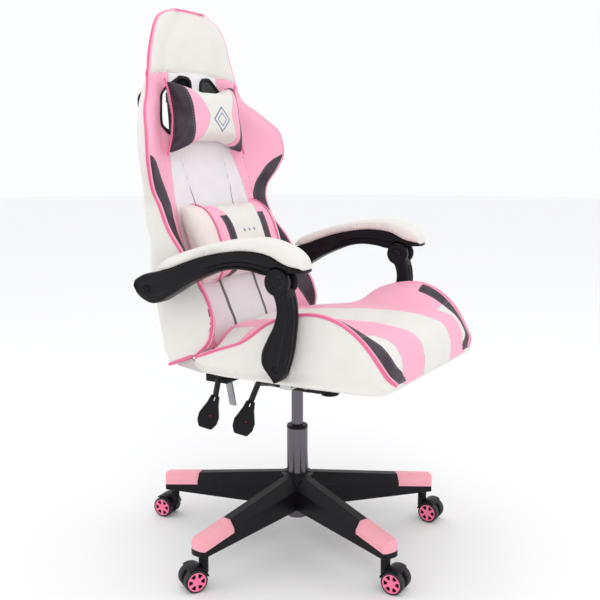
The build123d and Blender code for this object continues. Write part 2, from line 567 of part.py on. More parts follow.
# ---------------------------------------------------------------- soft back
# front edge of the wings by height: half-width and y
WING_WIDTH = (
    (455, 226), (509, 227), (582, 223), (646, 219), (703, 219), (759, 214), (793, 214), (829, 228),
    (875, 258), (911, 273), (959, 267), (1009, 227), (1049, 182), (1101, 166), (1145, 152),
    (1184, 139), (1216, 118), (1235, 82), (1240, 60),
)
WING_Y = (
    (455, 110), (494, 98), (509, 84), (552, 75), (582, 82), (646, 121), (703, 162), (759, 206),
    (829, 227), (875, 212), (911, 203), (959, 209), (1009, 245), (1049, 276), (1101, 285),
    (1145, 291), (1184, 292), (1240, 300),
)
PAN_Y = ((455, 124), (510, 130), (582, 158), (700, 208), (788, 233), (853, 251), (915, 271), (1000, 290),
         (1100, 293), (1184, 294), (1240, 302))
SIDE_SILHOUETTE_Y = (
    (453, 193), (469, 202), (503, 204), (582, 217), (659, 230), (707, 230), (762, 243), (859, 255),
    (936, 263), (1009, 260), (1071, 242), (1132, 216), (1191, 187), (1240, 175),
)
REAR_Y = ((453, 206), (500, 225), (582, 252), (703, 287), (788, 307), (853, 324), (950, 346), (1050, 353),
          (1150, 345), (1200, 332), (1240, 314))
BACK_HEIGHTS = (455, 494, 509, 545, 582, 646, 703, 759, 793, 829, 875, 911, 959, 1009, 1049, 1101, 1145,
                1184, 1216, 1235, 1240)
SIGHT_SLOPE = 0.85      # how fast the rear recedes from side to middle
PAN_HALF = ((455, 150), (700, 150), (911, 140), (1049, 110), (1145, 100), (1240, 36))


def back_section(z):
    half = lerp(WING_WIDTH, z)
    wing, pan, rear = lerp(WING_Y, z), lerp(PAN_Y, z), lerp(REAR_Y, z)
    side_line = lerp(SIDE_SILHOUETTE_Y, z)
    pan_half = min(lerp(PAN_HALF, z), half - 22)
    side_rear = min(side_line + (240 - half) * SIGHT_SLOPE, rear - 4)
    corner = min(side_line + (240 - half + 52) * SIGHT_SLOPE - 14, rear - 3)
    shoulder = min(side_line + (240 - half + 104) * SIGHT_SLOPE - 20, rear - 2)
    side_rear, corner = max(side_rear, wing + 6), max(corner, wing + 10)
    shoulder = max(shoulder, corner + 0.5)
    flank = max(half - 104, half * 0.3)
    return [
        (0, pan, z), (pan_half, pan - 1, z), (half - 12, wing - 1, z), (half, wing + 2, z),
        (half - 4, side_rear, z), (half - 48 if half > 100 else half * 0.55, corner, z),
        (flank, shoulder, z), (0, max(rear, shoulder + 0.5), z),
    ]


def across(points, x):
    """y of a line of points at a distance from the middle."""
    table = sorted((abs(px), py) for px, py, pz in points)
    return lerp(table, x)


def back_middle(x, z):
    """y halfway between the back's front and rear skins."""
    half = back_section(z)
    return (across(half[:3], x) + across(half[5:], x)) / 2


def hole_outline(grow=0.0):
    """Belt opening on the +X side, seen from the front."""
    inner, outer = BACK_HOLE_INNER - grow, BACK_HOLE_OUTER + grow
    return [
        (inner, 1084 + grow), (58, 1087 + grow), (outer, 1046), (outer, 978),
        (outer - 22, 963 - grow), (inner, 966 - grow),
    ]


def hole_prism(side, grow, y_front=150.0, y_rear=420.0):
    points = [(side * x, z) for x, z in hole_outline(grow)]
    face = Plane.XZ.offset(-y_rear) * make_face(Polyline(*points, close=True))
    prism = extrude(face, amount=y_rear - y_front)
    return fillet(prism.edges().filter_by(Axis.Y), 12.0)


def lower_edge(y):
    """Height of the back's lower edge, which falls to the rear and passes just under the hinge."""
    return HINGE_Z - 2 + (HINGE_Y - y) * LOWER_EDGE_RISE


def lower_edge_cutter():
    """Everything below the back's lower edge."""
    points = [(60, lower_edge(60)), (HINGE_Y + 80, lower_edge(HINGE_Y + 80)), (HINGE_Y + 80, 380), (60, 380)]
    return slab_x(polygon(points), -300, 300)


def build_back():
    whole = stack([mirrored(back_section(z)) for z in BACK_HEIGHTS])
    whole -= lower_edge_cutter()
    cushion = whole
    for side in (-1, 1):
        cushion -= hole_prism(side, BEZEL_WALL)
        low, high = sorted((side * (RECLINER_X - 16), side * (RECLINER_X + 2 * RECLINER_THICK + 3)))
        cushion -= rod_x(POCKET_RADIUS, low, high, HINGE_Y, HINGE_Z)
    save(cushion, "back_cushion")
    liners = [(hole_prism(side, BEZEL_WALL) - hole_prism(side, 0.0)) & whole for side in (-1, 1)]
    save(Compound(children=liners), "belt_bezels")
    build_pillows(whole)


def build_back_frame():
    upright = [(FRAME_X, HINGE_Y + 6, HINGE_Z + 40)]
    for x, z in ((FRAME_X, 620), (FRAME_X, 930), (136, 1060), (76, 1152)):
        upright.append((x, back_middle(x, z), z))
    full = upright + [(-x, y, z) for x, y, z in reversed(upright)]
    path = FilletPolyline(*full, radius=30)
    section = Plane(origin=full[0], z_dir=Vector(*full[1]) - Vector(*full[0])) * Circle(FRAME_TUBE)
    frame = sweep(section, path=path)
    for z in (640, 880):
        frame += rod_x(FRAME_BAR, -FRAME_X, FRAME_X, back_middle(FRAME_X, z), z)
    for side in (-1, 1):
        low, high = sorted((side * FRAME_X, side * (ARM_CENTRE + 4)))
        frame += rod_x(STUD_RADIUS, low, high, STUD_Y, STUD_Z)
        low, high = sorted((side * (FRAME_X - 4), side * (FRAME_X + 12)))
        gusset = [(STUD_Y - 14, STUD_Z - 20), (STUD_Y + 40, STUD_Z - 20), (STUD_Y + 40, STUD_Z + 24),
                  (STUD_Y - 14, STUD_Z + 20)]
        frame += slab_x(polygon(gusset), low, high)
        low, high = sorted((side * (FRAME_X + 12), side * (ARM_CENTRE - ARM_WIDTH / 2 - SIDE_GAP)))
        frame += rod_x(STUD_RADIUS + 5, low, high, STUD_Y, STUD_Z)
    plates = []
    for side in (-1, 1):
        low, high = sorted((side * RECLINER_X, side * (RECLINER_X + RECLINER_THICK)))
        plate = rod_x(RECLINER_DISC, low, high, HINGE_Y, HINGE_Z)
        tongue = [(HINGE_Y - 18, HINGE_Z), (HINGE_Y + 18, HINGE_Z), (HINGE_Y + 30, HINGE_Z + 90),
                  (HINGE_Y, HINGE_Z + 90)]
        plate += slab_x(polygon(tongue), low, high)
        inner, outer = sorted((side * FRAME_X, side * RECLINER_X))
        plate += rod_x(FRAME_BAR, inner, outer, HINGE_Y + 10, HINGE_Z + 60)
        plate -= rod_x(RECLINER_PIN_RADIUS + RUNNING, low, high, HINGE_Y, HINGE_Z)
        plates.append(plate)
    plates = Compound(children=plates)
    save(largest(frame - plates), "back_frame")
    save(plates, "recliner_back_plates")


# ---------------------------------------------------------------- pillows
HEAD_LOW, HEAD_HIGH = 908.0, 1079.0
HEAD_HALF_TOP, HEAD_HALF_BOTTOM, HEAD_WAIST = 134.0, 152.0, 22.0
LUMBAR_LOW, LUMBAR_HIGH, LUMBAR_HALF = 603.0, 800.0, 172.0


def pillow(outline, front_outline, base_plane, thick):
    """Pillow from a flat back face to a smaller front face, bulging between them."""
    rear = [(0.94 * x, 0.94 * y) for x, y in outline]
    layers = ((0.0, rear), (0.4 * thick, outline), (thick, front_outline))
    return loft([
        base_plane * Location((0, 0, depth)) * make_face(Polyline(*points, close=True))
        for depth, points in layers
    ], ruled=True)


def build_pillows(back):
    lean = 9.5
    middle = (HEAD_LOW + HEAD_HIGH) / 2
    half_high = (HEAD_HIGH - HEAD_LOW) / 2
    front = lerp(PAN_Y, middle) - 3.0
    plane = Plane(origin=(0, front, middle), x_dir=(1, 0, 0), z_dir=(0, -math.cos(math.radians(lean)), 0.1))
    outline = [
        (HEAD_HALF_TOP, half_high), (60, half_high - HEAD_WAIST * 0.8), (-60, half_high - HEAD_WAIST * 0.8),
        (-HEAD_HALF_TOP, half_high), (-HEAD_HALF_TOP + 2, 0), (-HEAD_HALF_BOTTOM, -half_high),
        (-60, -half_high + HEAD_WAIST), (60, -half_high + HEAD_WAIST), (HEAD_HALF_BOTTOM, -half_high),
        (HEAD_HALF_TOP - 2, 0),
    ]
    small = [(x * 0.62, y * 0.62) for x, y in outline]
    save(largest(pillow(outline, small, plane, HEAD_THICK) - back), "head_pillow")

    middle = (LUMBAR_LOW + LUMBAR_HIGH) / 2
    half_high = (LUMBAR_HIGH - LUMBAR_LOW) / 2
    lean_ratio = (lerp(PAN_Y, LUMBAR_HIGH) - lerp(PAN_Y, LUMBAR_LOW)) / (LUMBAR_HIGH - LUMBAR_LOW)
    front = lerp(PAN_Y, middle) - 4.0
    plane = Plane(origin=(0, front, middle), x_dir=(1, 0, 0), z_dir=(0, -1, lean_ratio))
    outline = [
        (LUMBAR_HALF - 14, half_high), (-LUMBAR_HALF + 14, half_high), (-LUMBAR_HALF, 0),
        (-LUMBAR_HALF + 14, -half_high), (LUMBAR_HALF - 14, -half_high), (LUMBAR_HALF, 0),
    ]
    small = [(x * 0.9, y * 0.5) for x, y in outline]
    save(largest(pillow(outline, small, plane, LUMBAR_THICK) - back), "lumbar_pillow")

    straps = []
    for side in (-1, 1):
        low, high = sorted((side * (BACK_HOLE_INNER + 2), side * (BACK_HOLE_INNER + 2 + STRAP_WIDTH)))
        straps.append(block((low, STRAP_Y, STRAP_LOW), (high, STRAP_Y + 2, STRAP_TOP)))
    save(Compound(children=straps), "pillow_straps")


# ---------------------------------------------------------------- armrests
FRAME_TOP = ((178, 665), (146, 673), (100, 689), (55, 704), (-3, 717), (-60, 723), (-113, 717), (-150, 701),
             (-190, 694))
FRAME_LOW = ((186, 598), (167, 602), (140, 616), (86, 647), (44, 666), (9, 679), (-30, 686), (-75, 684),
             (-104, 679), (-133, 684), (-190, 689))
LOBE = ((178, 665), (214, 655), (231, 640), (224, 618), (203, 603), (186, 598))
PAD_TOP = ((163, 684), (111, 709), (66, 724), (7, 739), (-49, 749), (-95, 752), (-140, 744), (-176, 728),
           (-190, 712), (-190, 696))
POST_REAR = ((-114, 655), (-128, 630), (-131, 605), (-124, 580), (-107, 548), (-95, 520), (-95, 500),
             (-108, 480), (-124, 462))
POST_FRONT = ((-152, 655), (-160, 625), (-162, 596), (-159, 561), (-154, 525), (-146, 496), (-136, 470),
              (-124, 462))


def arm_frame_solid(inner, outer):
    lobe = Spline(*LOBE)
    outline = [Spline(*FRAME_TOP), Line(FRAME_TOP[-1], FRAME_LOW[-1]), Spline(*FRAME_LOW), lobe]
    frame = slab_x(outline, inner, outer)
    return frame + rod_x(KNUCKLE_RADIUS, inner, outer, FRONT_PIVOT_Y, FRONT_PIVOT_Z)


def on_side(solid, side):
    """A part made on the +X side, mirrored for the other one."""
    return solid if side > 0 else mirror(solid, about=Plane.YZ)


def build_arm(side, name):
    inner, outer = ARM_CENTRE - ARM_WIDTH / 2, ARM_CENTRE + ARM_WIDTH / 2
    frame = arm_frame_solid(inner, outer)
    neck_in, neck_out = inner + PIVOT_DISC_THICK, outer - PIVOT_DISC_THICK
    for low, high in ((inner - 6, neck_in + DISC_GAP), (neck_out - DISC_GAP, outer + 6)):
        frame -= rod_x(PIVOT_DISC + DISC_GAP, low, high, FRONT_PIVOT_Y, FRONT_PIVOT_Z)
    frame -= rod_x(ARM_PIN_RADIUS + RUNNING, inner - 1, outer + 1, FRONT_PIVOT_Y, FRONT_PIVOT_Z)
    frame -= rod_x(STUD_RADIUS + STUD_PLAY, inner - 1, ARM_CENTRE + 6, STUD_Y, STUD_Z)
    save(on_side(frame, side), f"arm_frame_{name}")

    lower = [(y, z + 0.05) for y, z in FRAME_TOP[1:]]
    pad_outline = [Spline(*PAD_TOP), Line(PAD_TOP[-1], lower[-1]), Spline(*lower), Line(lower[0], PAD_TOP[0])]
    pad = slab_x(pad_outline, ARM_CENTRE - PAD_WIDTH / 2, ARM_CENTRE + PAD_WIDTH / 2)
    save(on_side(pad, side), f"arm_pad_{name}")

    sides = [Spline(*POST_REAR), Spline(*reversed(POST_FRONT)), Line(POST_FRONT[0], POST_REAR[0])]
    post = slab_x(sides, inner, outer)
    post -= rod_x(KNUCKLE_RADIUS + 1.5, neck_in, neck_out, FRONT_PIVOT_Y, FRONT_PIVOT_Z)
    post += rod_x(PIVOT_DISC, inner - DISC_PROUD, neck_in, FRONT_PIVOT_Y, FRONT_PIVOT_Z)
    post += rod_x(PIVOT_DISC, neck_out, outer + DISC_PROUD, FRONT_PIVOT_Y, FRONT_PIVOT_Z)
    post -= rod_x(ARM_PIN_RADIUS, 200, 400, FRONT_PIVOT_Y, FRONT_PIVOT_Z)
    post -= rod_x(ARM_PIN_RADIUS + RUNNING, 200, outer - 5.8, SEAT_PIVOT_Y, SEAT_PIVOT_Z)
    save(on_side(post, side), f"arm_post_{name}")
    pin = rod_x(ARM_PIN_RADIUS, inner - DISC_PROUD, outer + DISC_PROUD, FRONT_PIVOT_Y, FRONT_PIVOT_Z)
    save(on_side(pin, side), f"arm_pin_{name}")


def build_lock_bar():
    outline = [(LOCK_BAR_Y - 8, 408), (LOCK_BAR_Y + 8, 408), (LOCK_BAR_Y - 4, 350), (LOCK_BAR_Y - 20, 350)]
    bar = slab_x(polygon(outline), LOCK_BAR_X - 2.5, LOCK_BAR_X + 2.5)
    save(bar, "tilt_lock_bar")


def main():
    os.makedirs("parts", exist_ok=True)
    build_base()
    build_casters()
    build_gas_lift()
    build_mechanism()
    build_levers()
    build_seat_structure()
    build_seat_cushion()
    build_back()
    build_back_frame()
    build_arm(1, "left")
    build_arm(-1, "right")
    build_lock_bar()


main()
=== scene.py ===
"""Looks of a high-back bucket chair on a five-legged caster base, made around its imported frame.

Lengths in the shape functions are millimetres, and meshes are stored in metres.  +Z is up, the chair
faces -Y, and +X is the sitter's left.
"""
import math

import bmesh
import bpy
import numpy as np
from bpy.props import FloatProperty, FloatVectorProperty, PointerProperty
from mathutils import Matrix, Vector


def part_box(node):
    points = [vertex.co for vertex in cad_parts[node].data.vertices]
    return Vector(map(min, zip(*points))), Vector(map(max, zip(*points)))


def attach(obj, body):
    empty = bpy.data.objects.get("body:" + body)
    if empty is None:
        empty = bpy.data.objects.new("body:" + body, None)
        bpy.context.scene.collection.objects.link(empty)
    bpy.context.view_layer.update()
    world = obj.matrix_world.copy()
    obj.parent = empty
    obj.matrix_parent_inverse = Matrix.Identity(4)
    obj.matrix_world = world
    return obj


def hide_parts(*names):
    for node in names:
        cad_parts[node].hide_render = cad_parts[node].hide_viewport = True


bl_info = {
    "name": "Bucket chair looks",
    "version": (1, 0, 0),
    "blender": (4, 5, 0),
    "location": "3D View > Sidebar > Chair",
    "description": "Upholstery, mouldings and finishes of a high-back bucket chair",
    "category": "Object",
}

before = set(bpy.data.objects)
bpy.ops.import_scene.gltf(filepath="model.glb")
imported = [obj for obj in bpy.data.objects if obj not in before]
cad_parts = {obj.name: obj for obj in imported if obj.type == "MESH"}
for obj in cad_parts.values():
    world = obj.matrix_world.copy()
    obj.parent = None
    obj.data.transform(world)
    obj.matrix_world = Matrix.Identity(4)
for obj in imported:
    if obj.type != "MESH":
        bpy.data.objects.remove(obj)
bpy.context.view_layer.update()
MM = 0.001
NO_SEAM = 50.0          # distance to a seam where there is none near
OUTSIDE = -30.0         # field value well outside a panel
WELL_INSIDE = 5.0       # field value well inside a panel
CORD_OUT = 0.8          # how far the outer piping stands off its edge

# ---------------------------------------------------------------- shape tables, shared with the solids
HINGE_Y, HINGE_Z, LOWER_EDGE_RISE = 180.0, 457.0, 0.41
WING_WIDTH = (
    (455, 226), (509, 227), (582, 223), (646, 219), (703, 219), (759, 214), (793, 214), (829, 228),
    (875, 258), (911, 273), (959, 267), (1009, 227), (1049, 182), (1101, 166), (1145, 152),
    (1184, 139), (1216, 118), (1235, 82), (1240, 60),
)
WING_Y = (
    (455, 110), (494, 98), (509, 84), (552, 75), (582, 82), (646, 121), (703, 162), (759, 206),
    (829, 227), (875, 212), (911, 203), (959, 209), (1009, 245), (1049, 276), (1101, 285),
    (1145, 291), (1184, 292), (1240, 300),
)
PAN_Y = ((455, 124), (510, 130), (582, 158), (700, 208), (788, 233), (853, 251), (915, 271), (1000, 290),
         (1100, 293), (1184, 294), (1240, 302))
SIDE_SILHOUETTE_Y = (
    (453, 193), (469, 202), (503, 204), (582, 217), (659, 230), (707, 230), (762, 243), (859, 255),
    (936, 263), (1009, 260), (1071, 242), (1132, 216), (1191, 187), (1240, 175),
)
REAR_Y = ((453, 206), (500, 225), (582, 252), (703, 287), (788, 307), (853, 324), (950, 346), (1050, 353),
          (1150, 345), (1200, 332), (1240, 314))
PAN_HALF = ((455, 150), (700, 150), (911, 140), (1049, 110), (1145, 100), (1240, 36))
SIGHT_SLOPE = 0.85
BACK_TOP = 1240.0
HOLE_INNER, HOLE_OUTER = 23.0, 124.0

# along the seat: middle of the top sheet (y, z), its edge (x, y, z), and height of the side's lower edge
SEAT_LINES = (
    (128, 478, 226, 120, 470, 464), (122, 492, 238, 115, 473, 463),
    (108, 505, 244, 108, 478, 462), (88, 528, 251, 88, 486, 452), (45, 537, 254, 45, 503, 447),
    (-20, 545, 255, -20, 528, 446.5), (-90, 551, 256, -90, 576, 446.5), (-153, 557, 256, -150, 596, 446.5),
    (-213, 558, 253, -206, 599, 446.5), (-262, 557, 248, -252, 584, 446.5), (-300, 552, 243, -290, 556, 447),
    (-330, 543, 238, -314, 526, 448), (-346, 528, 233, -330, 501, 450), (-354, 507, 227, -341, 483, 453),
    (-356, 482, 208, -345, 471, 455), (-353, 463, 198, -349, 463, 457),
)

SEAT_MIDDLE = (0, -80, 470)
PAN_SEAM, BOLSTER_SEAM = 74, 165    # x of the seat's two long seams
FRONT_SEAM_Y, REAR_SEAM_Y = -278, 5
SEAT_STRIPE = 43                    # width of the charcoal stripe beside the seat's piping

# ---- armrest ----
ARM_CENTRE, ARM_HALF, PAD_HALF_WIDTH = 281.0, 20.0, 26.0
STUD = (198.0, 628.0)
SEAT_PIVOT = (-127.0, 498.0)
FRONT_PIVOT = (-133.0, 667.0)
PIVOT_DISC, DISC_THICK, DISC_PROUD, KNUCKLE = 27.0, 13.0, 3.0, 19.0
FRAME_UPPER = ((232, 634), (231, 642), (214, 655), (178, 665), (146, 673), (100, 689), (55, 704), (-3, 717),
               (-60, 723), (-113, 717), (-150, 701), (-190, 694))
FRAME_LOWER = ((232, 634), (225, 617), (205, 603), (186, 598), (167, 602), (140, 616), (86, 647), (44, 666),
               (9, 679), (-30, 686), (-75, 684), (-104, 679), (-133, 684), (-190, 689))
PAD_TOP = ((166, 677), (158, 687), (111, 709), (66, 724), (7, 739), (-49, 749), (-95, 752), (-140, 744),
           (-176, 728), (-189, 714), (-191, 702))
PAD_LOW = ((164, 672), (146, 673), (100, 689), (55, 704), (-3, 717), (-60, 723), (-113, 717), (-150, 701),
           (-190, 694))
POST_REAR = ((-114, 655), (-128, 630), (-131, 605), (-124, 580), (-107, 548), (-95, 520), (-95, 500),
             (-108, 480), (-124, 462))
POST_FRONT = ((-152, 655), (-160, 625), (-162, 596), (-159, 561), (-154, 525), (-146, 496), (-136, 470),
              (-124, 462))

# ---- pillows: middle of the flat rear face, lean (y per z), half height ----
HEAD_MIDDLE, HEAD_LEAN, HEAD_HALF_HIGH = (285.5, 993.5), 0.10, 89.0
HEAD_SIDE = ((-1, 153), (-0.4, 131), (0.1, 125), (0.6, 128), (1, 138))
LUMBAR_OUTER = ((-110, 118), (60, 118), (100, 122))
LUMBAR_MIDDLE, LUMBAR_LEAN, LUMBAR_HALF_HIGH = (204.6, 701.5), 0.36, 98.5

COLOURS = {
    "white": ((0.82, 0.80, 0.755), "Warm white of the cover's side and outer panels"),
    "lavender": ((0.85, 0.82, 0.84), "Cool white of the back's middle panel"),
    "pink": ((0.98, 0.455, 0.60), "Light pink panels"),
    "deep_pink": ((0.86, 0.16, 0.33), "Piping"),
    "charcoal": ((0.045, 0.033, 0.046), "Charcoal panels"),
    "peach": ((0.88, 0.79, 0.75), "Ends of the lumbar roll"),
    "thread": ((0.16, 0.20, 0.27), "Embroidery thread"),
    "nylon": ((0.007, 0.006, 0.008), "Moulded black nylon"),
    "cap": ((0.97, 0.41, 0.49), "Leg caps"),
    "hub": ((0.95, 0.20, 0.36), "Six-spoke wheel inserts"),
    "chrome": ((0.14, 0.13, 0.15), "Gas lift tubes"),
    "steel": ((0.36, 0.36, 0.38), "Bare steel parts"),
    "wood": ((0.42, 0.29, 0.17), "Plywood under the seat"),
}


class ChairColours(bpy.types.PropertyGroup):
    """Colours of the chair's materials, linear."""

    __annotations__ = {
        name: FloatVectorProperty(name=name.replace("_", " ").capitalize(), description=text,
                                  default=value, size=3, min=0.0, max=1.0, subtype="COLOR")
        for name, (value, text) in COLOURS.items()
    }


class ChairSizes(bpy.types.PropertyGroup):
    """Sizes of the soft details."""

    piping: FloatProperty(name="Piping", description="Radius of the outer piping",
                          default=2.9 * MM, min=0.0, unit="LENGTH")
    grain: FloatProperty(name="Grain", description="Size of one pebble of the cover's grain",
                         default=1.3 * MM, min=0.0, unit="LENGTH")
    swell: FloatProperty(name="Swell", description="How far the pillows may swell in the simulation",
                         default=9.0 * MM, min=0.0, unit="LENGTH")
    ruche: FloatProperty(name="Ruche", description="Depth of the gathers along the arm pads",
                         default=1.1 * MM, min=0.0, unit="LENGTH")


# ---------------------------------------------------------------- curves and fields
def smooth(table, at):
    """Monotone cubic (Fritsch-Carlson) through a table's (value, result) pairs."""
    x, y = np.array(table, float).T
    step, rate = np.diff(x), np.diff(y) / np.diff(x)
    left, right = rate[:-1], rate[1:]
    same = left * right > 0
    weight_a, weight_b = 2 * step[1:] + step[:-1], step[1:] + 2 * step[:-1]
    safe_l, safe_r = np.where(same, left, 1.0), np.where(same, right, 1.0)
    inner = np.where(same, (weight_a + weight_b) / (weight_a / safe_l + weight_b / safe_r), 0.0)
    slope = np.concatenate([rate[:1], inner, rate[-1:]])
    at = np.clip(np.asarray(at, float), x[0], x[-1])
    i = np.clip(np.searchsorted(x, at, side="right") - 1, 0, len(x) - 2)
    h = step[i]
    t = (at - x[i]) / h
    return (y[i] * (1 + 2 * t) * (1 - t) ** 2 + y[i + 1] * t * t * (3 - 2 * t)
            + h * slope[i] * t * (1 - t) ** 2 - h * slope[i + 1] * t * t * (1 - t))


def curve(points, count):
    """Catmull-Rom cubic by chord length through the points, at evenly spaced parameters."""
    p = np.array(points, float)
    t = np.concatenate([[0.0], np.cumsum(np.linalg.norm(np.diff(p, axis=0), axis=1))])
    slope = np.gradient(p, t, axis=0)
    at = np.linspace(0, t[-1], count)
    i = np.clip(np.searchsorted(t, at, side="right") - 1, 0, len(t) - 2)
    h = (t[i + 1] - t[i])[:, None]
    u = (at - t[i])[:, None] / h
    return (p[i] * (1 + 2 * u) * (1 - u) ** 2 + p[i + 1] * u * u * (3 - 2 * u)
            + h * slope[i] * u * (1 - u) ** 2 - h * slope[i + 1] * u * u * (1 - u))


def basis(knots, count):
    """Rows of weights that turn values at evenly spaced knots into a Catmull-Rom curve."""
    return curve(np.eye(knots), count)


def ease(low, high, value):
    """0 below low, 1 above high, 3t^2 - 2t^3 between."""
    t = np.clip((value - low) / (high - low), 0, 1)
    return t * t * (3 - 2 * t)


def unit(vectors):
    return vectors / np.maximum(np.linalg.norm(vectors, axis=-1, keepdims=True), 1e-9)


def ripple(points, wavelength):
    """Gentle unevenness in -1..1: three crossing sine waves of different pitch."""
    x, y, z = (points[..., k] * (2 * math.pi / wavelength) for k in range(3))
    return (np.sin(x + 1.7 * z) + np.sin(1.3 * y - 0.9 * x + 2.1) + np.sin(1.9 * z + 0.7 * y + 0.6)) / 3


# ---------------------------------------------------------------- meshes
def quads(rows, columns, wrap=False):
    """Quads of a grid of points in row order; wrap joins the last column to the first."""
    across = columns if wrap else columns - 1
    r, c = np.meshgrid(np.arange(rows - 1), np.arange(across), indexing="ij")
    n = (c + 1) % columns
    return np.stack([r * columns + c, r * columns + n, (r + 1) * columns + n, (r + 1) * columns + c],
                    axis=-1).reshape(-1, 4)


def make_piece(name, sheets, fields=None, merge=0.05, closed=True):
    """One mesh from several grids (rows, columns, 3) in mm, merged where their edges meet."""
    points, faces, start = [], [], 0
    for sheet, wrap in sheets:
        rows, columns = sheet.shape[:2]
        points.append(sheet.reshape(-1, 3))
        faces.append(quads(rows, columns, wrap) + start)
        start += rows * columns
    mesh = bpy.data.meshes.new(name)
    mesh.from_pydata(np.vstack(points) * MM, [], np.vstack(faces))
    for field, values in (fields or {}).items():
        layer = mesh.attributes.new(field, "FLOAT", "POINT")
        layer.data.foreach_set("value", np.concatenate([v.ravel() for v in values]).astype(np.float32))
    welded = bmesh.new()
    welded.from_mesh(mesh)
    bmesh.ops.remove_doubles(welded, verts=welded.verts, dist=merge * MM)
    bmesh.ops.dissolve_degenerate(welded, edges=welded.edges, dist=0.01 * MM)
    if closed:
        bmesh.ops.recalc_face_normals(welded, faces=welded.faces)
    welded.to_mesh(mesh)
    welded.free()
    mesh.polygons.foreach_set("use_smooth", [True] * len(mesh.polygons))
    piece = bpy.data.objects.new(name, mesh)
    bpy.context.collection.objects.link(piece)
    return piece


def between(first, last, count):
    """Rows from one line of points to another, in straight steps."""
    share = np.linspace(0, 1, count)[:, None, None]
    return first[None] * (1 - share) + last[None] * share


def shell(name, front, rear, fields=None, cap_rows=5):
    """Closed skin of two sheets that share their side columns, with ruled caps at both ends."""
    caps = [between(front[0], rear[0], cap_rows), between(front[-1], rear[-1], cap_rows)]
    full = {}
    for field, (on_front, on_rear) in (fields or {}).items():
        ends = [between(on_front[i][:, None], on_rear[i][:, None], cap_rows)[..., 0] for i in (0, -1)]
        full[field] = [on_front, on_rear, *ends]
    return make_piece(name, [(s, False) for s in (front, rear, *caps)], full)


def tube(name, path, radius, away, sides=10):
    """Round cord along a path; its sections stand on the direction away from a middle point."""
    tangent = unit(np.gradient(path, axis=0))
    out = path - np.asarray(away, float)
    out = unit(out - np.sum(out * tangent, axis=1, keepdims=True) * tangent)
    side = np.cross(tangent, out)
    turn = np.linspace(0, 2 * math.pi, sides, endpoint=False)[None, :, None]
    reach = np.sqrt(np.clip(np.minimum(np.arange(len(path)), np.arange(len(path))[::-1]) / 2.0, 0, 1))
    rings = path[:, None] + radius * reach[:, None, None] * (
        np.cos(turn) * out[:, None] + np.sin(turn) * side[:, None])
    return make_piece(name, [(rings, True)], merge=0.001)


def turned(name, profile, centre, sides=48):
    """Profile of (x, radius) points turned about the X direction through centre (y, z)."""
    x, radius = np.array(profile, float).T
    turn = np.linspace(0, 2 * math.pi, sides, endpoint=False)
    rings = np.stack([
        np.broadcast_to(x[:, None], (len(x), sides)),
        centre[0] + radius[:, None] * np.cos(turn),
        centre[1] + radius[:, None] * np.sin(turn),
    ], axis=-1)
    return make_piece(name, [(rings, True)], merge=0.001)


def apply_modifiers(piece):
    """The mesh with its modifiers worked in."""
    graph = bpy.context.evaluated_depsgraph_get()
    graph.update()
    made = bpy.data.meshes.new_from_object(piece.evaluated_get(graph))
    piece.modifiers.clear()
    piece.data = made
    return piece


def vertices(piece):
    """Vertex positions in mm."""
    found = np.empty(len(piece.data.vertices) * 3)
    piece.data.vertices.foreach_get("co", found)
    return found.reshape(-1, 3) / MM


def set_field(piece, name, values):
    layer = piece.data.attributes.get(name) or piece.data.attributes.new(name, "FLOAT", "POINT")
    layer.data.foreach_set("value", np.asarray(values, np.float32))


def inflate(piece, voxel, pressure, cap):
    """Even mesh, then 20 steps of cloth under inner pressure, with each point's travel capped."""
    remesh = piece.modifiers.new("Even mesh", "REMESH")
    remesh.mode = "VOXEL"
    remesh.voxel_size = voxel * MM
    apply_modifiers(piece)
    before = vertices(piece)
    cloth = piece.modifiers.new("Cloth", "CLOTH")
    cloth.settings.quality = 5
    cloth.settings.use_pressure = True
    cloth.settings.uniform_pressure_force = pressure
    cloth.settings.effector_weights.gravity = 0.0
    scene = bpy.context.scene
    for step in range(1, 21):
        scene.frame_set(step)
    graph = bpy.context.evaluated_depsgraph_get()
    blown = bpy.data.meshes.new_from_object(piece.evaluated_get(graph))
    after = np.empty(len(blown.vertices) * 3)
    blown.vertices.foreach_get("co", after)
    after = after.reshape(-1, 3) / MM
    piece.modifiers.clear()
    scene.frame_set(1)
    travel = after - before
    travel -= travel.mean(axis=0)
    length = np.linalg.norm(travel, axis=1, keepdims=True)
    moved = before + travel * np.minimum(1.0, cap / np.maximum(length, 1e-6))
    piece.data.vertices.foreach_set("co", (moved * MM).ravel())
    finer = piece.modifiers.new("Finer", "SUBSURF")
    finer.levels = finer.render_levels = 1
    apply_modifiers(piece)
    piece.data.polygons.foreach_set("use_smooth", [True] * len(piece.data.polygons))
    return piece


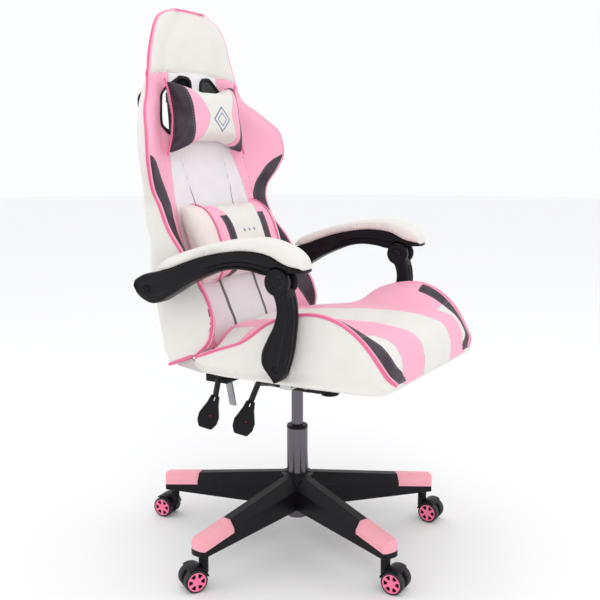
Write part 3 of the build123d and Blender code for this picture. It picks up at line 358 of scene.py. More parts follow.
# ---------------------------------------------------------------- materials
class Socket:
    """An output of a shader node that takes part in arithmetic."""

    def __init__(self, finish, output):
        self.finish, self.output = finish, output

    def math(self, operation, *others):
        return self.finish.add("ShaderNodeMath", {"operation": operation},
                               dict(enumerate((self, *others))))

    def __add__(self, other):
        return self.math("ADD", other)

    def __sub__(self, other):
        return self.math("SUBTRACT", other)

    def __rsub__(self, other):
        return self.finish.add("ShaderNodeMath", {"operation": "SUBTRACT"}, {0: other, 1: self})

    def __mul__(self, other):
        return self.math("MULTIPLY", other)

    def __truediv__(self, other):
        return self.math("DIVIDE", other)

    def __abs__(self):
        return self.math("ABSOLUTE")

    __radd__, __rmul__ = __add__, __mul__

    def least(self, other):
        return self.math("MINIMUM", other)

    def most(self, other):
        return self.math("MAXIMUM", other)

    def fraction(self):
        return self.math("FRACT")

    def step(self, low, high):
        """Smooth step from low to high."""
        return self.finish.add("ShaderNodeMapRange", {"interpolation_type": "SMOOTHSTEP"},
                               {0: self, 1: low, 2: high, 3: 0.0, 4: 1.0})


class Finish:
    """A material under construction, with its Principled shader."""

    def __init__(self, name, roughness=0.5, metallic=0.0, **constants):
        self.material = bpy.data.materials.new(name)
        self.material.use_nodes = True
        self.tree = self.material.node_tree
        self.shader = self.tree.nodes["Principled BSDF"]
        self.set("Roughness", roughness)
        self.set("Metallic", metallic)
        for socket, value in constants.items():
            self.set(socket.replace("_", " ").title().replace("Ior", "IOR"), value)

    def set(self, socket, value):
        self.feed(self.shader.inputs[socket], value)

    def feed(self, socket, value):
        if isinstance(value, Socket):
            self.tree.links.new(value.output, socket)
        elif hasattr(value, "__len__") and len(value) == 3 and socket.type == "RGBA":
            socket.default_value = (*value, 1.0)
        else:
            socket.default_value = value

    def add(self, kind, settings, values, output=0):
        """A node of that kind with its settings made first, then its sockets' values or links."""
        node = self.tree.nodes.new(kind)
        for setting, value in settings.items():
            setattr(node, setting, value)
        for socket, value in values.items():
            self.feed(node.inputs[socket], value)
        return Socket(self, node.outputs[output])

    @classmethod
    def of(cls, material):
        """The finish of a material made earlier."""
        finish = cls.__new__(cls)
        finish.material, finish.tree = material, material.node_tree
        finish.shader = finish.tree.nodes["Principled BSDF"]
        return finish

    def mix(self, share, low, high):
        """Colour between two colours."""
        return self.add("ShaderNodeMix", {"data_type": "RGBA"}, {0: share, 6: low, 7: high}, 2)

    def field(self, name):
        return self.add("ShaderNodeAttribute", {"attribute_name": name}, {}, "Fac")

    def place(self):
        """Object coordinates."""
        return self.add("ShaderNodeTexCoord", {}, {}, "Object")

    def axes(self):
        """X, Y and Z of the object coordinates, in metres."""
        split = self.tree.nodes.new("ShaderNodeSeparateXYZ")
        self.tree.links.new(self.place().output, split.inputs[0])
        return [Socket(self, output) for output in split.outputs]

    def noise(self, size, detail=3.0):
        """Noise whose features are about that size in metres."""
        return self.add("ShaderNodeTexNoise", {}, {
            "Vector": self.place(), "Scale": 1 / size, "Detail": detail})

    def pebbles(self, size):
        """Distance to the edge of irregular cells."""
        return self.add("ShaderNodeTexVoronoi", {"feature": "DISTANCE_TO_EDGE"},
                        {"Vector": self.place(), "Scale": 1 / size})

    def relief(self, height, depth, strength=1.0):
        """Bump of a height field of that depth in metres."""
        self.set("Normal", self.add("ShaderNodeBump", {}, {
            "Height": height, "Distance": depth, "Strength": strength}))


def shade(colour, factor):
    return tuple(min(1.0, c * factor) for c in colour)


def fill_field(piece, name, value):
    """The same field value at every vertex."""
    set_field(piece, name, np.full(len(piece.data.vertices), value))


def cord_of(name, path, radius, away, colour, body):
    """A piping cord in one colour, on the body it belongs to."""
    cord = tube(name, path, radius, away)
    give(cord, cover(name, [("always", tuple(colour))]))
    fill_field(cord, "always", WELL_INSIDE)
    fill_field(cord, "seam", NO_SEAM)
    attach(cord, body)


def cover(name, panels):
    """Grained coated cover.  Panels are (field, colour) pairs, laid on where a field is positive."""
    chair = bpy.context.scene.chair_colours
    grain = bpy.context.scene.chair_sizes.grain
    finish = Finish(name, roughness=0.45, specular_ior_level=0.22)
    colour = tuple(chair.white)
    for field, value in panels:
        if field == "tint":
            share = finish.field(field)
        else:
            share = finish.field(field).step(-0.5, 0.5)
        colour = finish.mix(share, colour, value)
    seam = finish.field("seam")
    line = 1.0 - (seam / 1.6).math("POWER", 2.0).least(1.0)
    mottle = finish.noise(0.045, 4.0)
    colour = finish.mix(mottle.step(0.35, 0.75) * 0.07, colour, (0.55, 0.47, 0.47))
    colour = finish.mix(line * 0.42, colour, (0.30, 0.20, 0.22))
    run = (finish.field("run") / 6.5).fraction()
    stitch = run.step(0.10, 0.2) * (1.0 - run.step(0.70, 0.80))
    stitch = stitch * (1.0 - (abs(abs(seam) - 4.2) / 0.8).least(1.0))
    colour = finish.mix(stitch * 0.25, colour, (0.95, 0.93, 0.93))
    finish.set("Base Color", colour)
    cells = finish.pebbles(grain).step(0.0, 0.30)
    creases = finish.noise(0.009, 2.0)
    finish.set("Roughness", 0.40 + mottle * 0.12 + (1.0 - cells) * 0.06)
    finish.relief(cells * 0.16 + creases * 0.22 + stitch * 0.9 - line * 1.6, 0.0007, 0.55)
    return finish.material


def moulded(name, colour, roughness, texture=0.0009, relief=0.00006):
    """Moulded plastic: fine spark texture, faint polish marks and gloss on rubbed places."""
    finish = Finish(name, roughness=roughness, specular_ior_level=0.16)
    rub = finish.noise(0.03, 5.0)
    spark = finish.noise(texture, 2.0)
    finish.set("Base Color", finish.mix(rub.step(0.45, 0.8) * 0.35, colour, shade(colour, 1.9)))
    finish.set("Roughness", roughness - 0.08 + rub * 0.16)
    finish.relief(spark, relief, 0.8)
    return finish.material


def leg_cap(name, colour):
    """Pink moulded cap with faint slanted ribs down its sides."""
    finish = Finish(name, roughness=0.5)
    x, y, z = finish.axes()
    rub = finish.noise(0.02, 4.0)
    slant = ((x * x + y * y).math("SQRT") + z * 0.9) / 0.009
    rib = abs(slant.fraction() - 0.5) * 2.0
    finish.set("Base Color", finish.mix(rub * 0.25, colour, shade(colour, 0.84)))
    finish.set("Roughness", 0.42 + rub * 0.15)
    finish.relief(rib.step(0.2, 0.8) * 0.5 + finish.noise(0.0008, 2.0) * 0.2, 0.0005, 0.6)
    return finish.material


def metal(name, colour, roughness, brushed=0.0):
    """Plated or bare metal with fine turning lines round a vertical part."""
    finish = Finish(name, roughness=roughness, metallic=1.0)
    z = finish.axes()[2]
    smudge = finish.noise(0.04, 5.0)
    lines = ((z / 0.0011) + smudge * 2.0).fraction()
    finish.set("Base Color", finish.mix(smudge.step(0.4, 0.8) * 0.3, colour, shade(colour, 0.8)))
    finish.set("Roughness", roughness + smudge * 0.08 + lines * brushed)
    finish.relief(lines + smudge, 0.00002, 0.5)
    return finish.material


def tyre(name, colour):
    """Soft black tread with a fine grain and dust on the rolling face."""
    finish = Finish(name, roughness=0.62)
    dust = finish.noise(0.008, 5.0)
    finish.set("Base Color", finish.mix(dust.step(0.5, 0.9) * 0.3, colour, (0.06, 0.055, 0.055)))
    finish.set("Roughness", 0.5 + dust * 0.2)
    finish.relief(finish.noise(0.0012, 2.0), 0.0001, 0.6)
    return finish.material


def ribbed(name, colour):
    """Rubber sleeve with ribs every 4 mm along X and rows of dots round it."""
    finish = Finish(name, roughness=0.45)
    x, y, z = finish.axes()
    along = (x - z * 0.6) / 0.0052
    rib = (abs(along.fraction() - 0.5) * 2.0).step(0.1, 0.6)
    dots = (abs(((y + z) / 0.005).fraction() - 0.5) * 2.0).step(0.2, 0.6)
    finish.set("Base Color", finish.mix(rib * dots * 0.5, colour, (0.05, 0.05, 0.055)))
    finish.set("Roughness", 0.5 - rib * 0.15)
    finish.relief(rib * dots, 0.0012, 1.0)
    return finish.material


def plywood(name, colour):
    """Layered board: growth rings across the face."""
    finish = Finish(name, roughness=0.6)
    x = finish.axes()[0]
    rings = ((x * 22.0) + finish.noise(0.12, 3.0) * 3.0).fraction()
    finish.set("Base Color", finish.mix(rings * 0.4, colour, shade(colour, 0.6)))
    finish.relief(rings + finish.noise(0.002, 2.0) * 0.4, 0.0002, 0.5)
    return finish.material


def woven(name, colour):
    """Elastic webbing: fine threads both ways."""
    finish = Finish(name, roughness=0.8)
    x, y, z = finish.axes()
    warp = abs((x / 0.0012).fraction() - 0.5)
    weft = abs(((z + y) / 0.0016).fraction() - 0.5)
    finish.set("Base Color", finish.mix(warp * weft * 3.0, colour, shade(colour, 3.0)))
    finish.relief(warp + weft, 0.0003, 0.7)
    return finish.material


def give(piece, material):
    piece.data.materials.clear()
    piece.data.materials.append(material)
    return piece


def dress(material, *nodes, edge=0.0):
    """Gives CAD nodes a finish, and rounds their edges where edge is above 0."""
    for node in nodes:
        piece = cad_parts[node]
        give(piece, material)
        if edge > 0:
            weld = piece.modifiers.new("Weld", "WELD")
            weld.merge_threshold = 0.00001
            bevel = piece.modifiers.new("Edges", "BEVEL")
            bevel.width = edge * MM
            bevel.segments = 2
            bevel.limit_method = "ANGLE"
            bevel.angle_limit = math.radians(32)
            bevel.harden_normals = False


# ---------------------------------------------------------------- back cushion
def lower_edge(y):
    return HINGE_Z - 2 + (HINGE_Y - y) * LOWER_EDGE_RISE


def seam_offset(z):
    """Where the two long seams of the middle panel run."""
    return smooth(((455, 66), (600, 69), (700, 72), (788, 75), (853, 82), (915, 85), (1105, 88)), z)


def back_front_y(x, z):
    """Front skin: a crowned middle panel, then an S-shaped rise to the wing's edge, rolled over."""
    half, wing, pan = smooth(WING_WIDTH, z), smooth(WING_Y, z), smooth(PAN_Y, z)
    reach = np.abs(x)
    pan_half = np.minimum(smooth(PAN_HALF, z), half - 22)
    u = np.clip((reach - pan_half) / (half - pan_half), 0, 1)
    rise = 0.30 * u + 0.70 * u * u * (3 - 2 * u)
    y = pan + (wing - pan) * rise - 3.0 * np.sin(math.pi * u) * ease(470, 560, z)
    y = y + 5.0 * ease(0.88, 1.0, u) ** 2
    calm = 1 - ease(1150, 1236, z)
    y = y - 7.0 * calm * np.clip(1 - (reach / pan_half) ** 2, 0, 1)
    valley = np.exp(-((reach - seam_offset(z)) / 5.0) ** 2) * (1 - ease(905, 930, z)) * ease(455, 480, z)
    y = y + 4.0 * valley
    y = y + 3.0 * np.exp(-((z - head_seam(x)) / 4.0) ** 2)
    wing_seam = np.exp(-((reach - wing_seam_x(z)) / 4.0) ** 2) * ease(520, 600, z) * (1 - ease(960, 1010, z))
    return y + 2.2 * wing_seam


def head_seam(x):
    return 1102 - 4 * (x / 100.0) ** 2


def wing_seam_x(z):
    return smooth(PAN_HALF, z) + 22.0


def back_rear_lines(z):
    """Knots of a rear section from the left edge to the right: x and y, stacked last."""
    half = smooth(WING_WIDTH, z)
    edge = back_front_y(half, z)
    side_line, rear = smooth(SIDE_SILHOUETTE_Y, z), smooth(REAR_Y, z)
    side = np.maximum(np.minimum(side_line + (240 - half) * SIGHT_SLOPE, rear - 4), edge + 6)
    corner = np.maximum(np.minimum(side_line + (292 - half) * SIGHT_SLOPE - 14, rear - 3), edge + 9)
    shoulder = np.maximum(np.minimum(side_line + (344 - half) * SIGHT_SLOPE - 20, rear - 2), corner + 0.5)
    corner_x = np.where(half > 100, half - 48, half * 0.55)
    flank = np.maximum(half - 104, half * 0.3)
    right_x = [half, half - 3, corner_x, flank, np.zeros_like(half)]
    right_y = [edge, side, corner, shoulder, np.maximum(rear, shoulder + 0.5)]
    x = np.stack(right_x + [-v for v in right_x[3::-1]], axis=-1)
    y = np.stack(right_y + right_y[3::-1], axis=-1)
    return x, y


def back_points(columns, share, front):
    """Points of one sheet of the back: share of the height up each column, from the sloped lower edge."""
    weights = basis(9, columns)

    def at(z):
        if front:
            x = -np.linspace(-1, 1, columns) * smooth(WING_WIDTH, z)
            return x, back_front_y(x, z)
        knots_x, knots_y = back_rear_lines(z)
        return np.sum(knots_x * weights, axis=-1), np.sum(knots_y * weights, axis=-1)

    low = np.full((1, columns), 480.0)
    for _ in range(8):
        low = lower_edge(at(low)[1])
    z = low + (BACK_TOP - low) * share[:, None]
    x, y = at(z)
    z = z + 4.0 * ease(0.985, 1.0, share)[:, None] * (1 - np.clip(x / 70.0, -1, 1) ** 2)
    return np.stack([x, y, z], axis=-1)


def stripe_width(z):
    """How far the charcoal stripe reaches in from the wing's edge."""
    return smooth(((500, -6), (512, 6), (545, 32), (585, 46), (640, 42), (700, 40), (760, 43), (800, 48),
                   (835, 52), (870, 50), (895, 38), (908, 18), (916, -4)), z)


def back_fields(front, rear):
    """Signed distances in mm, positive inside each coloured panel, on the two sheets."""
    x, y, z = np.moveaxis(front, -1, 0)
    reach = np.abs(x)
    edge_y = back_front_y(smooth(WING_WIDTH, z), z)
    rim = np.hypot(smooth(WING_WIDTH, z) - reach, y - edge_y)
    bound = smooth(((455, 150), (700, 150), (790, 146), (850, 137), (910, 122), (1000, 100), (1105, 92)), z)
    pink = np.minimum(reach - bound, head_seam(x) - z)
    dark = np.where((z > 500) & (z < 916), stripe_width(z) - rim, -10)
    wedge = 0.6 + 4.2 * (1 - ease(600, 915, z))
    grey = np.where(z < 915, wedge - np.abs(reach - seam_offset(z)), -5)
    tint = (1 - ease(-2, 2, z - head_seam(x))) * (1 - ease(-1, 1, reach - bound))
    seam = np.minimum(np.abs(reach - bound) + 50 * (z > 1104), np.abs(z - head_seam(x)))
    seam = np.minimum(seam, np.abs(reach - wing_seam_x(z)) + 50 * ((z > 985) | (z < 540)))
    seam = np.minimum(seam, np.where(dark > -20, np.abs(dark), 50))
    away = np.full(rear.shape[:2], OUTSIDE)
    blank = np.zeros(rear.shape[:2])
    rear_x, _, rear_z = np.moveaxis(rear, -1, 0)
    rear_seam = np.minimum(np.abs(np.abs(rear_x) - 112), 50)
    rear_seam = rear_seam + 50 * (rear[..., 1] < smooth(REAR_Y, rear_z) - 60)
    return {
        "pink": (pink, away), "dark": (dark, away), "grey": (grey, away), "tint": (tint, blank),
        "seam": (seam, rear_seam), "run": (z + 0.6 * reach, rear_z),
    }


def rounded(corners, radius, count=7):
    """Closed outline whose corners are arcs of that radius."""
    p = np.array(corners, float)
    before, after = unit(np.roll(p, 1, axis=0) - p), unit(np.roll(p, -1, axis=0) - p)
    half = np.arccos(np.clip(np.sum(before * after, axis=1), -1, 1)) / 2
    centre = p + unit(before + after) * (radius / np.sin(half))[:, None]
    start = p + before * (radius / np.tan(half))[:, None] - centre
    end = p + after * (radius / np.tan(half))[:, None] - centre
    turn = np.arctan2(start[:, 0] * end[:, 1] - start[:, 1] * end[:, 0], np.sum(start * end, axis=1))
    angle = turn[:, None] * np.linspace(0, 1, count)
    cos, sin = np.cos(angle), np.sin(angle)
    arcs = np.stack([start[:, :1] * cos - start[:, 1:] * sin, start[:, :1] * sin + start[:, 1:] * cos], -1)
    return (centre[:, None] + arcs).reshape(-1, 2)


def hole_line(grow, radius=12.0):
    """Belt opening (x, z) on the +X side, grown outwards."""
    inner, outer = HOLE_INNER - grow, HOLE_OUTER + grow
    corners = [
        (inner, 1084 + grow), (58, 1087 + grow), (outer, 1046), (outer, 978),
        (outer - 22, 963 - grow), (inner, 966 - grow),
    ]
    dense = rounded(corners, radius + max(grow, -4))
    return curve(np.vstack([dense, dense[:1]]), 121)[:-1]


def rear_y(x, z):
    """Rear skin's y near the middle of the back."""
    knots_x, knots_y = back_rear_lines(z)
    inner = np.clip(np.abs(x) / np.maximum(knots_x[..., 3], 1), 0, 1)
    return knots_y[..., 4] * (1 - inner ** 2) + knots_y[..., 3] * inner ** 2


def ring_rows(steps, side):
    """Rows round a belt opening: each step is (grow, depth from the front skin or rear skin, at rear)."""
    rows = []
    for grow, depth, at_rear in steps:
        x, z = hole_line(grow).T
        skin = rear_y(x, z) if at_rear else back_front_y(x, z)
        rows.append(np.stack([side * x, skin + depth, z], axis=-1))
    return np.array(rows)


class CHAIR_OT_back(bpy.types.Operator):
    """Back cushion with its belt openings, bezels and piping"""

    bl_idname = "chair.back"
    bl_label = "Back cushion"

    def execute(self, context):
        colours, sizes = context.scene.chair_colours, context.scene.chair_sizes
        columns, rows = 121, 176
        share = 1 - (1 - np.linspace(0, 1, rows)) ** 1.35
        front, rear = back_points(columns, share, True), back_points(columns, share, False)
        front[:, [0, -1]] = rear[:, [0, -1]]
        soft = back_fields(front, rear)
        for sheet in (front, rear):
            inside = np.sin(math.pi * np.linspace(0, 1, columns)) ** 0.5
            sheet[..., 1] += 1.1 * ripple(sheet, 95.0) * inside
        cushion = shell("back_cushion_cover", front, rear, soft)
        for side in (-1, 1):
            line = hole_line(4.0)
            prism = np.stack([
                np.stack([side * line[:, 0], np.full(len(line), y), line[:, 1]], axis=-1)
                for y in (180.0, 420.0)])
            middle = np.array([side * 73.0, 0.0, 1028.0])
            caps = [between(row, np.broadcast_to(middle + [0, row[0, 1], 0], row.shape), 2) for row in prism]
            cutter = make_piece("belt_cutter", [(prism, True), *[(cap, True) for cap in caps]])
            cut = cushion.modifiers.new("Belt opening", "BOOLEAN")
            cut.operation, cut.solver, cut.object = "DIFFERENCE", "EXACT", cutter
            apply_modifiers(cushion)
            bpy.data.objects.remove(cutter)
        cushion.data.polygons.foreach_set("use_smooth", [True] * len(cushion.data.polygons))
        give(cushion, cover("back_cover", [
            ("tint", tuple(colours.lavender)), ("pink", tuple(colours.pink)),
            ("grey", (0.16, 0.15, 0.16)), ("dark", tuple(colours.charcoal))]))
        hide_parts("back_cushion")
        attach(cushion, "back")
        self.piping(front, rear, sizes, colours)
        self.bezels(colours)
        return {"FINISHED"}

    @staticmethod
    def piping(front, rear, sizes, colours):
        """Deep pink piping round the front outline and a little way back along the lower edge, with a thinner
        light pink cord along its inner side round the outline as painted highlight.
        """
        radius = sizes.piping / MM
        columns = front.shape[1]
        tail = int(columns * 0.16)
        # the second, light pink cord is a painted highlight on the deep pink piping, not a second piping
        for name, inset, size, colour in (
                ("back_piping_outer", 0, radius, colours.deep_pink),
                ("back_piping_painted_highlight", 1, radius * 0.86, colours.pink)):
            right, left = front[:, inset], front[:, columns - 1 - inset]
            top = front[-1 - inset, inset:columns - inset]
            path = np.vstack([right[:-1 - inset], top, left[::-1][1 + inset:]])
            if inset == 0:
                path = np.vstack([rear[0, 1:tail][::-1], path, rear[0, -tail:-1]])
            path = curve(path[::3], 620)
            out = unit(path - np.array([0, 330.0, 760.0]))
            cord_of(name, path + out * CORD_OUT, size, (0, 330, 760), colour, "back")

    @staticmethod
    def bezels(colours):
        """Black flange on each skin with a wall through the opening."""
        nylon = moulded("bezel_nylon", tuple(colours.nylon), 0.32)
        for side, label in ((-1, "right"), (1, "left")):
            steps = [
                (7.5, 1.0, 0), (7.0, -2.6, 0), (5.0, -4.2, 0), (1.0, -4.0, 0), (-1.2, -1.5, 0),
                (-1.6, 4.0, 0), (-1.6, -4.0, 1), (-1.0, 1.8, 1), (1.5, 3.6, 1), (6.0, 3.2, 1), (7.0, -1.0, 1),
            ]
            bezel = make_piece(f"belt_bezel_{label}", [(ring_rows(steps, side), True)], closed=True)
            give(bezel, nylon)
            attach(bezel, "back")
            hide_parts("belt_bezels")


# ---------------------------------------------------------------- seat cushion
def seat_sheets(rows, columns):
    """Top sheet, crowned across the pan and raised on the bolsters, and lower sheet round the sides."""
    lines = curve(SEAT_LINES, rows)
    mid_y, mid_z, edge_x, edge_y, edge_z, low_z = (lines[:, k:k + 1] for k in range(6))
    s = -np.linspace(-1, 1, columns)[None, :]
    # evenly spaced near the rim as well, where the bolster is steep
    s = np.sign(s) * (0.65 * np.abs(s) + 0.35 * np.abs(s) ** 2 * (2 - np.abs(s)))
    x = s * edge_x
    reach = np.abs(x)
    pan_half = np.minimum(168.0, edge_x - 40)
    u = np.clip((reach - pan_half) / (edge_x - pan_half), 0, 1)
    climb = u * u * (3 - 2 * u)
    front_fall = ease(250, 345, -mid_y)
    z = mid_z + (edge_z - mid_z) * (climb * (1 - front_fall) + u ** 1.2 * front_fall)
    crest = np.maximum(edge_z - mid_z, 0)
    z = z + 0.16 * crest * np.sin(math.pi * np.clip(u, 0, 1)) * (1 - front_fall)
    z = z + 5.0 * np.clip(1 - (reach / 175.0) ** 2, 0, 1) * (1 - 0.5 * front_fall)
    y = mid_y + (edge_y - mid_y) * ease(0, 1, (reach / edge_x) ** 1.5)
    near_front = ease(230, 280, -y)
    pinch = np.exp(-((reach - PAN_SEAM) / 4.5) ** 2)
    pinch = pinch + 0.9 * np.exp(-((reach - BOLSTER_SEAM) / 4.5) ** 2) * near_front
    pinch = pinch + 0.5 * np.exp(-((reach - BOLSTER_SEAM) / 6) ** 2) * (1 - near_front)
    z = z - 2.8 * pinch * (1 - front_fall)
    y = y + 2.4 * pinch * front_fall
    # the back's wings come down beside the pan
    rest = lower_edge(y) - 3.5
    under = ease(58, 76, y) * ease(148, 172, reach)
    z = z - np.maximum(z - rest, 0) * under
    z[:, [0, -1]] = np.minimum(edge_z, z[:, [0, -1]])
    top = np.stack([x, y, z], axis=-1)
    weights = basis(9, columns)
    edge = top[:, :1]
    knots_x = np.stack([edge[..., 0], edge[..., 0] + 3.5, edge[..., 0] + 0.5, edge[..., 0] - 14,
                        np.zeros_like(edge[..., 0])], axis=-1)
    drop = edge[..., 2] - low_z
    knots_z = np.stack([edge[..., 2], low_z + drop * 0.62, low_z + drop * 0.22, low_z, low_z], axis=-1)
    full_x = np.concatenate([knots_x, -knots_x[..., 3::-1]], axis=-1)
    full_z = np.concatenate([knots_z, knots_z[..., 3::-1]], axis=-1)
    low_x = np.sum(full_x * weights, axis=-1)
    low_zs = np.maximum(np.sum(full_z * weights, axis=-1), low_z)
    lower = np.stack([low_x, np.broadcast_to(edge[..., 1], low_x.shape), low_zs], axis=-1)
    lower[:, [0, -1]] = top[:, [0, -1]]
    return top, lower


def seat_fields(top, lower):
    x, y, z = np.moveaxis(top, -1, 0)
    reach = np.abs(x)
    steps = np.linalg.norm(np.diff(top, axis=1), axis=-1)
    from_right = np.concatenate([np.zeros((len(top), 1)), np.cumsum(steps, axis=1)], axis=1)
    rim = np.minimum(from_right, from_right[:, -1:] - from_right)
    outer = reach - BOLSTER_SEAM
    trapezoid = np.minimum(outer, FRONT_SEAM_Y - y)
    rear_white = np.minimum(outer, y - REAR_SEAM_Y)
    pink = np.minimum(reach - PAN_SEAM, -np.maximum(trapezoid, rear_white))
    ends = np.minimum(-212 - y, (z - 467) * 1.2)
    dark = np.minimum(np.minimum(SEAT_STRIPE - rim, rim - 3), ends)
    seam = np.minimum(np.abs(reach - PAN_SEAM), np.where(y < -270, np.abs(outer), NO_SEAM))
    cross = np.minimum(np.abs(FRONT_SEAM_Y - y), np.abs(y - REAR_SEAM_Y))
    seam = np.minimum(seam, np.where(outer > 0, cross, NO_SEAM))
    seam = np.minimum(seam, np.where(dark > -12, np.abs(dark), NO_SEAM))
    away = np.full(lower.shape[:2], OUTSIDE)
    side_seam = np.abs(lower[..., 2] - lower[..., 2].min(axis=1, keepdims=True) - 9) + 6
    return {"pink": (pink, away), "dark": (dark, away), "seam": (seam, side_seam), "run": (y, lower[..., 1]),
            "tint": (np.zeros_like(x), np.zeros(lower.shape[:2]))}


class CHAIR_OT_seat(bpy.types.Operator):
    """Seat cushion with its coloured panels and piping"""

    bl_idname = "chair.seat"
    bl_label = "Seat cushion"

    def execute(self, context):
        colours, sizes = context.scene.chair_colours, context.scene.chair_sizes
        top, lower = seat_sheets(170, 141)
        fields = seat_fields(top, lower)
        inside = np.sin(math.pi * np.linspace(0, 1, top.shape[1])) ** 0.5
        top[..., 2] += 1.2 * ripple(top, 110.0) * inside
        lower[..., 0] += 1.3 * ripple(lower, 120.0) * inside * np.sign(lower[..., 0])
        cushion = shell("seat_cushion_cover", top, lower, fields, cap_rows=6)
        give(cushion, cover("seat_cover", [("pink", tuple(colours.pink)), ("dark", tuple(colours.charcoal))]))
        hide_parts("seat_cushion")
        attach(cushion, "seat")
        radius = sizes.piping / MM
        # the light pink cord two columns in is a painted highlight on the deep pink piping, not a second
        # piping
        for name, column, size, colour in (
                ("seat_piping_outer", 0, radius, colours.deep_pink),
                ("seat_piping_painted_highlight", 2, radius * 0.86, colours.pink)):
            right, left = top[:, column], top[:, top.shape[1] - 1 - column]
            for label, line in (("left", right), ("right", left)):
                path = curve(line[::4], 300)
                outward = unit(path - SEAT_MIDDLE)
                cord_of(f"{name}_{label}", path + outward * CORD_OUT, size, SEAT_MIDDLE, colour,
                        "seat")
        return {"FINISHED"}


# ---------------------------------------------------------------- pillows
def stand_up(middle, lean, across, up, out):
    """Points of a leaning plane: across it, up it and out of its front."""
    size = math.hypot(1, lean)
    y = middle[0] + (up * lean - out) / size
    z = middle[1] + (up + out * lean) / size
    return np.stack([across, y, z], axis=-1)


def lie_down(middle, lean, points):
    """The opposite: across, up and out from points."""
    size = math.hypot(1, lean)
    dy, dz = points[:, 1] - middle[0], points[:, 2] - middle[1]
    return points[:, 0], (dy * lean + dz) / size, (dz * lean - dy) / size


def square_grid(count):
    line = np.sin(np.linspace(-1, 1, count) * math.pi / 2)
    return np.meshgrid(-line, line)


def head_pillow_sheets(count=61, inset=5.0):
    """Bow tie: half width pulled in at mid height, edges waisted in the middle, front domed."""
    s, t = square_grid(count)
    half = smooth(HEAD_SIDE, t) - inset
    pinch = 1 - ease(0.25, 1.0, np.abs(s))
    upper = HEAD_HALF_HIGH - 18 * pinch - inset
    lower = HEAD_HALF_HIGH - 23 * pinch - inset
    up = np.where(t > 0, t * upper, t * lower)
    dome = ((1 - s ** 4) * (1 - t ** 4)) ** 0.55
    front = 26 + 46 * dome * (1 - 0.28 * s * s)
    rear = 26 - 21 * dome ** 0.6
    sheets = [stand_up(HEAD_MIDDLE, HEAD_LEAN, s * half, up, out) for out in (front, rear)]
    return sheets


def lumbar_sheets(count=61, inset=5.0):
    """Roll: flat at the rear, half round to the front, with slightly domed ends."""
    s, t = square_grid(count)
    half = 171 - 5 * t * t - inset
    up = t * (LUMBAR_HALF_HIGH - inset)
    ends = (1 - s ** 10) ** 0.5
    front = 20 + 53 * (1 - np.abs(t) ** 2.6) ** 0.62 * ends * (1 - 0.10 * s * s)
    rear = 20 - 16 * ((1 - t ** 4) * (1 - s ** 8)) ** 0.5
    return [stand_up(LUMBAR_MIDDLE, LUMBAR_LEAN, s * half, up, out) for out in (front, rear)]


def head_fields(piece):
    across, up, out = lie_down(HEAD_MIDDLE, HEAD_LEAN, vertices(piece))
    reach = np.abs(across)
    ahead = out - 22
    pink = np.minimum(reach - (44 + 50 * np.clip(np.abs(up) / 82, 0, 1.2) ** 1.35), ahead)
    dark = np.minimum(reach - (88 + 8 * (up / 80) ** 2), ahead + 3)
    seam = np.minimum(np.where(dark > -6, np.abs(dark), 50), np.where(np.abs(pink) < 20, np.abs(pink), 50))
    set_field(piece, "pink", pink)
    set_field(piece, "peach", np.full(len(reach), OUTSIDE))
    set_field(piece, "dark", dark)
    set_field(piece, "seam", np.where(out > 24, seam, 50))
    set_field(piece, "run", up)


def lumbar_fields(piece):
    across, up, out = lie_down(LUMBAR_MIDDLE, LUMBAR_LEAN, vertices(piece))
    reach = np.abs(across)
    inner = smooth(((-110, 57), (0, 57), (40, 60), (60, 68), (80, 82), (100, 101)), up)
    outer = smooth(LUMBAR_OUTER, up)
    pink = np.minimum(reach - inner, outer - reach)
    dark = np.minimum(np.minimum(reach - inner, inner + 27 - reach), 50 - up)
    set_field(piece, "pink", pink)
    set_field(piece, "peach", np.minimum(reach - outer, 60))
    set_field(piece, "dark", dark)
    seam = np.minimum(np.abs(pink), np.where(dark > -8, np.abs(dark), 50))
    set_field(piece, "seam", np.where(out > 10, seam, 50))
    set_field(piece, "run", up)


def mark_head(material):
    """Embroidered rhombus, two nested outlines, on the middle of the head pillow's front."""
    finish = Finish.of(material)
    x, y, z = finish.axes()
    height = z - HEAD_MIDDLE[1] * MM
    spread = abs(x) * 0.95 + abs(height)
    bands = (1.0 - (abs(spread - 0.028) / 0.0030).step(0.8, 1.1))
    bands = bands.most(1.0 - (abs(spread - 0.0155) / 0.0022).step(0.8, 1.1))
    return finish, bands, y, HEAD_MIDDLE[0] * MM - 0.045


def mark_lumbar(material):
    """Row of three small stitched rhombi on the lumbar roll's front."""
    finish = Finish.of(material)
    x, y, z = finish.axes()
    cell = abs((x / 0.020 + 0.5).fraction() - 0.5) * 0.020
    height = z - (LUMBAR_MIDDLE[1] + 35) * MM
    spread = cell + abs(height)
    bands = 1.0 - (spread / 0.0048).step(0.9, 1.1)
    bands = bands * (1.0 - (abs(x) / 0.030).step(0.99, 1.0))
    return finish, bands, y, LUMBAR_MIDDLE[0] * MM - 0.02


def embroider(material, mark):
    """Lays a thread pattern over a cover's colour on the face in front of a plane."""
    finish, bands, y, plane = mark(material)
    thread = tuple(bpy.context.scene.chair_colours.thread)
    base = finish.shader.inputs["Base Color"].links[0].from_socket
    share = bands * (1.0 - (y / plane).step(0.999, 1.001))
    sheen = finish.noise(0.0015, 2.0)
    tone = finish.mix(sheen.step(0.4, 0.6) * 0.6, thread, shade(thread, 2.6))
    finish.set("Base Color", finish.mix(share, Socket(finish, base), tone))


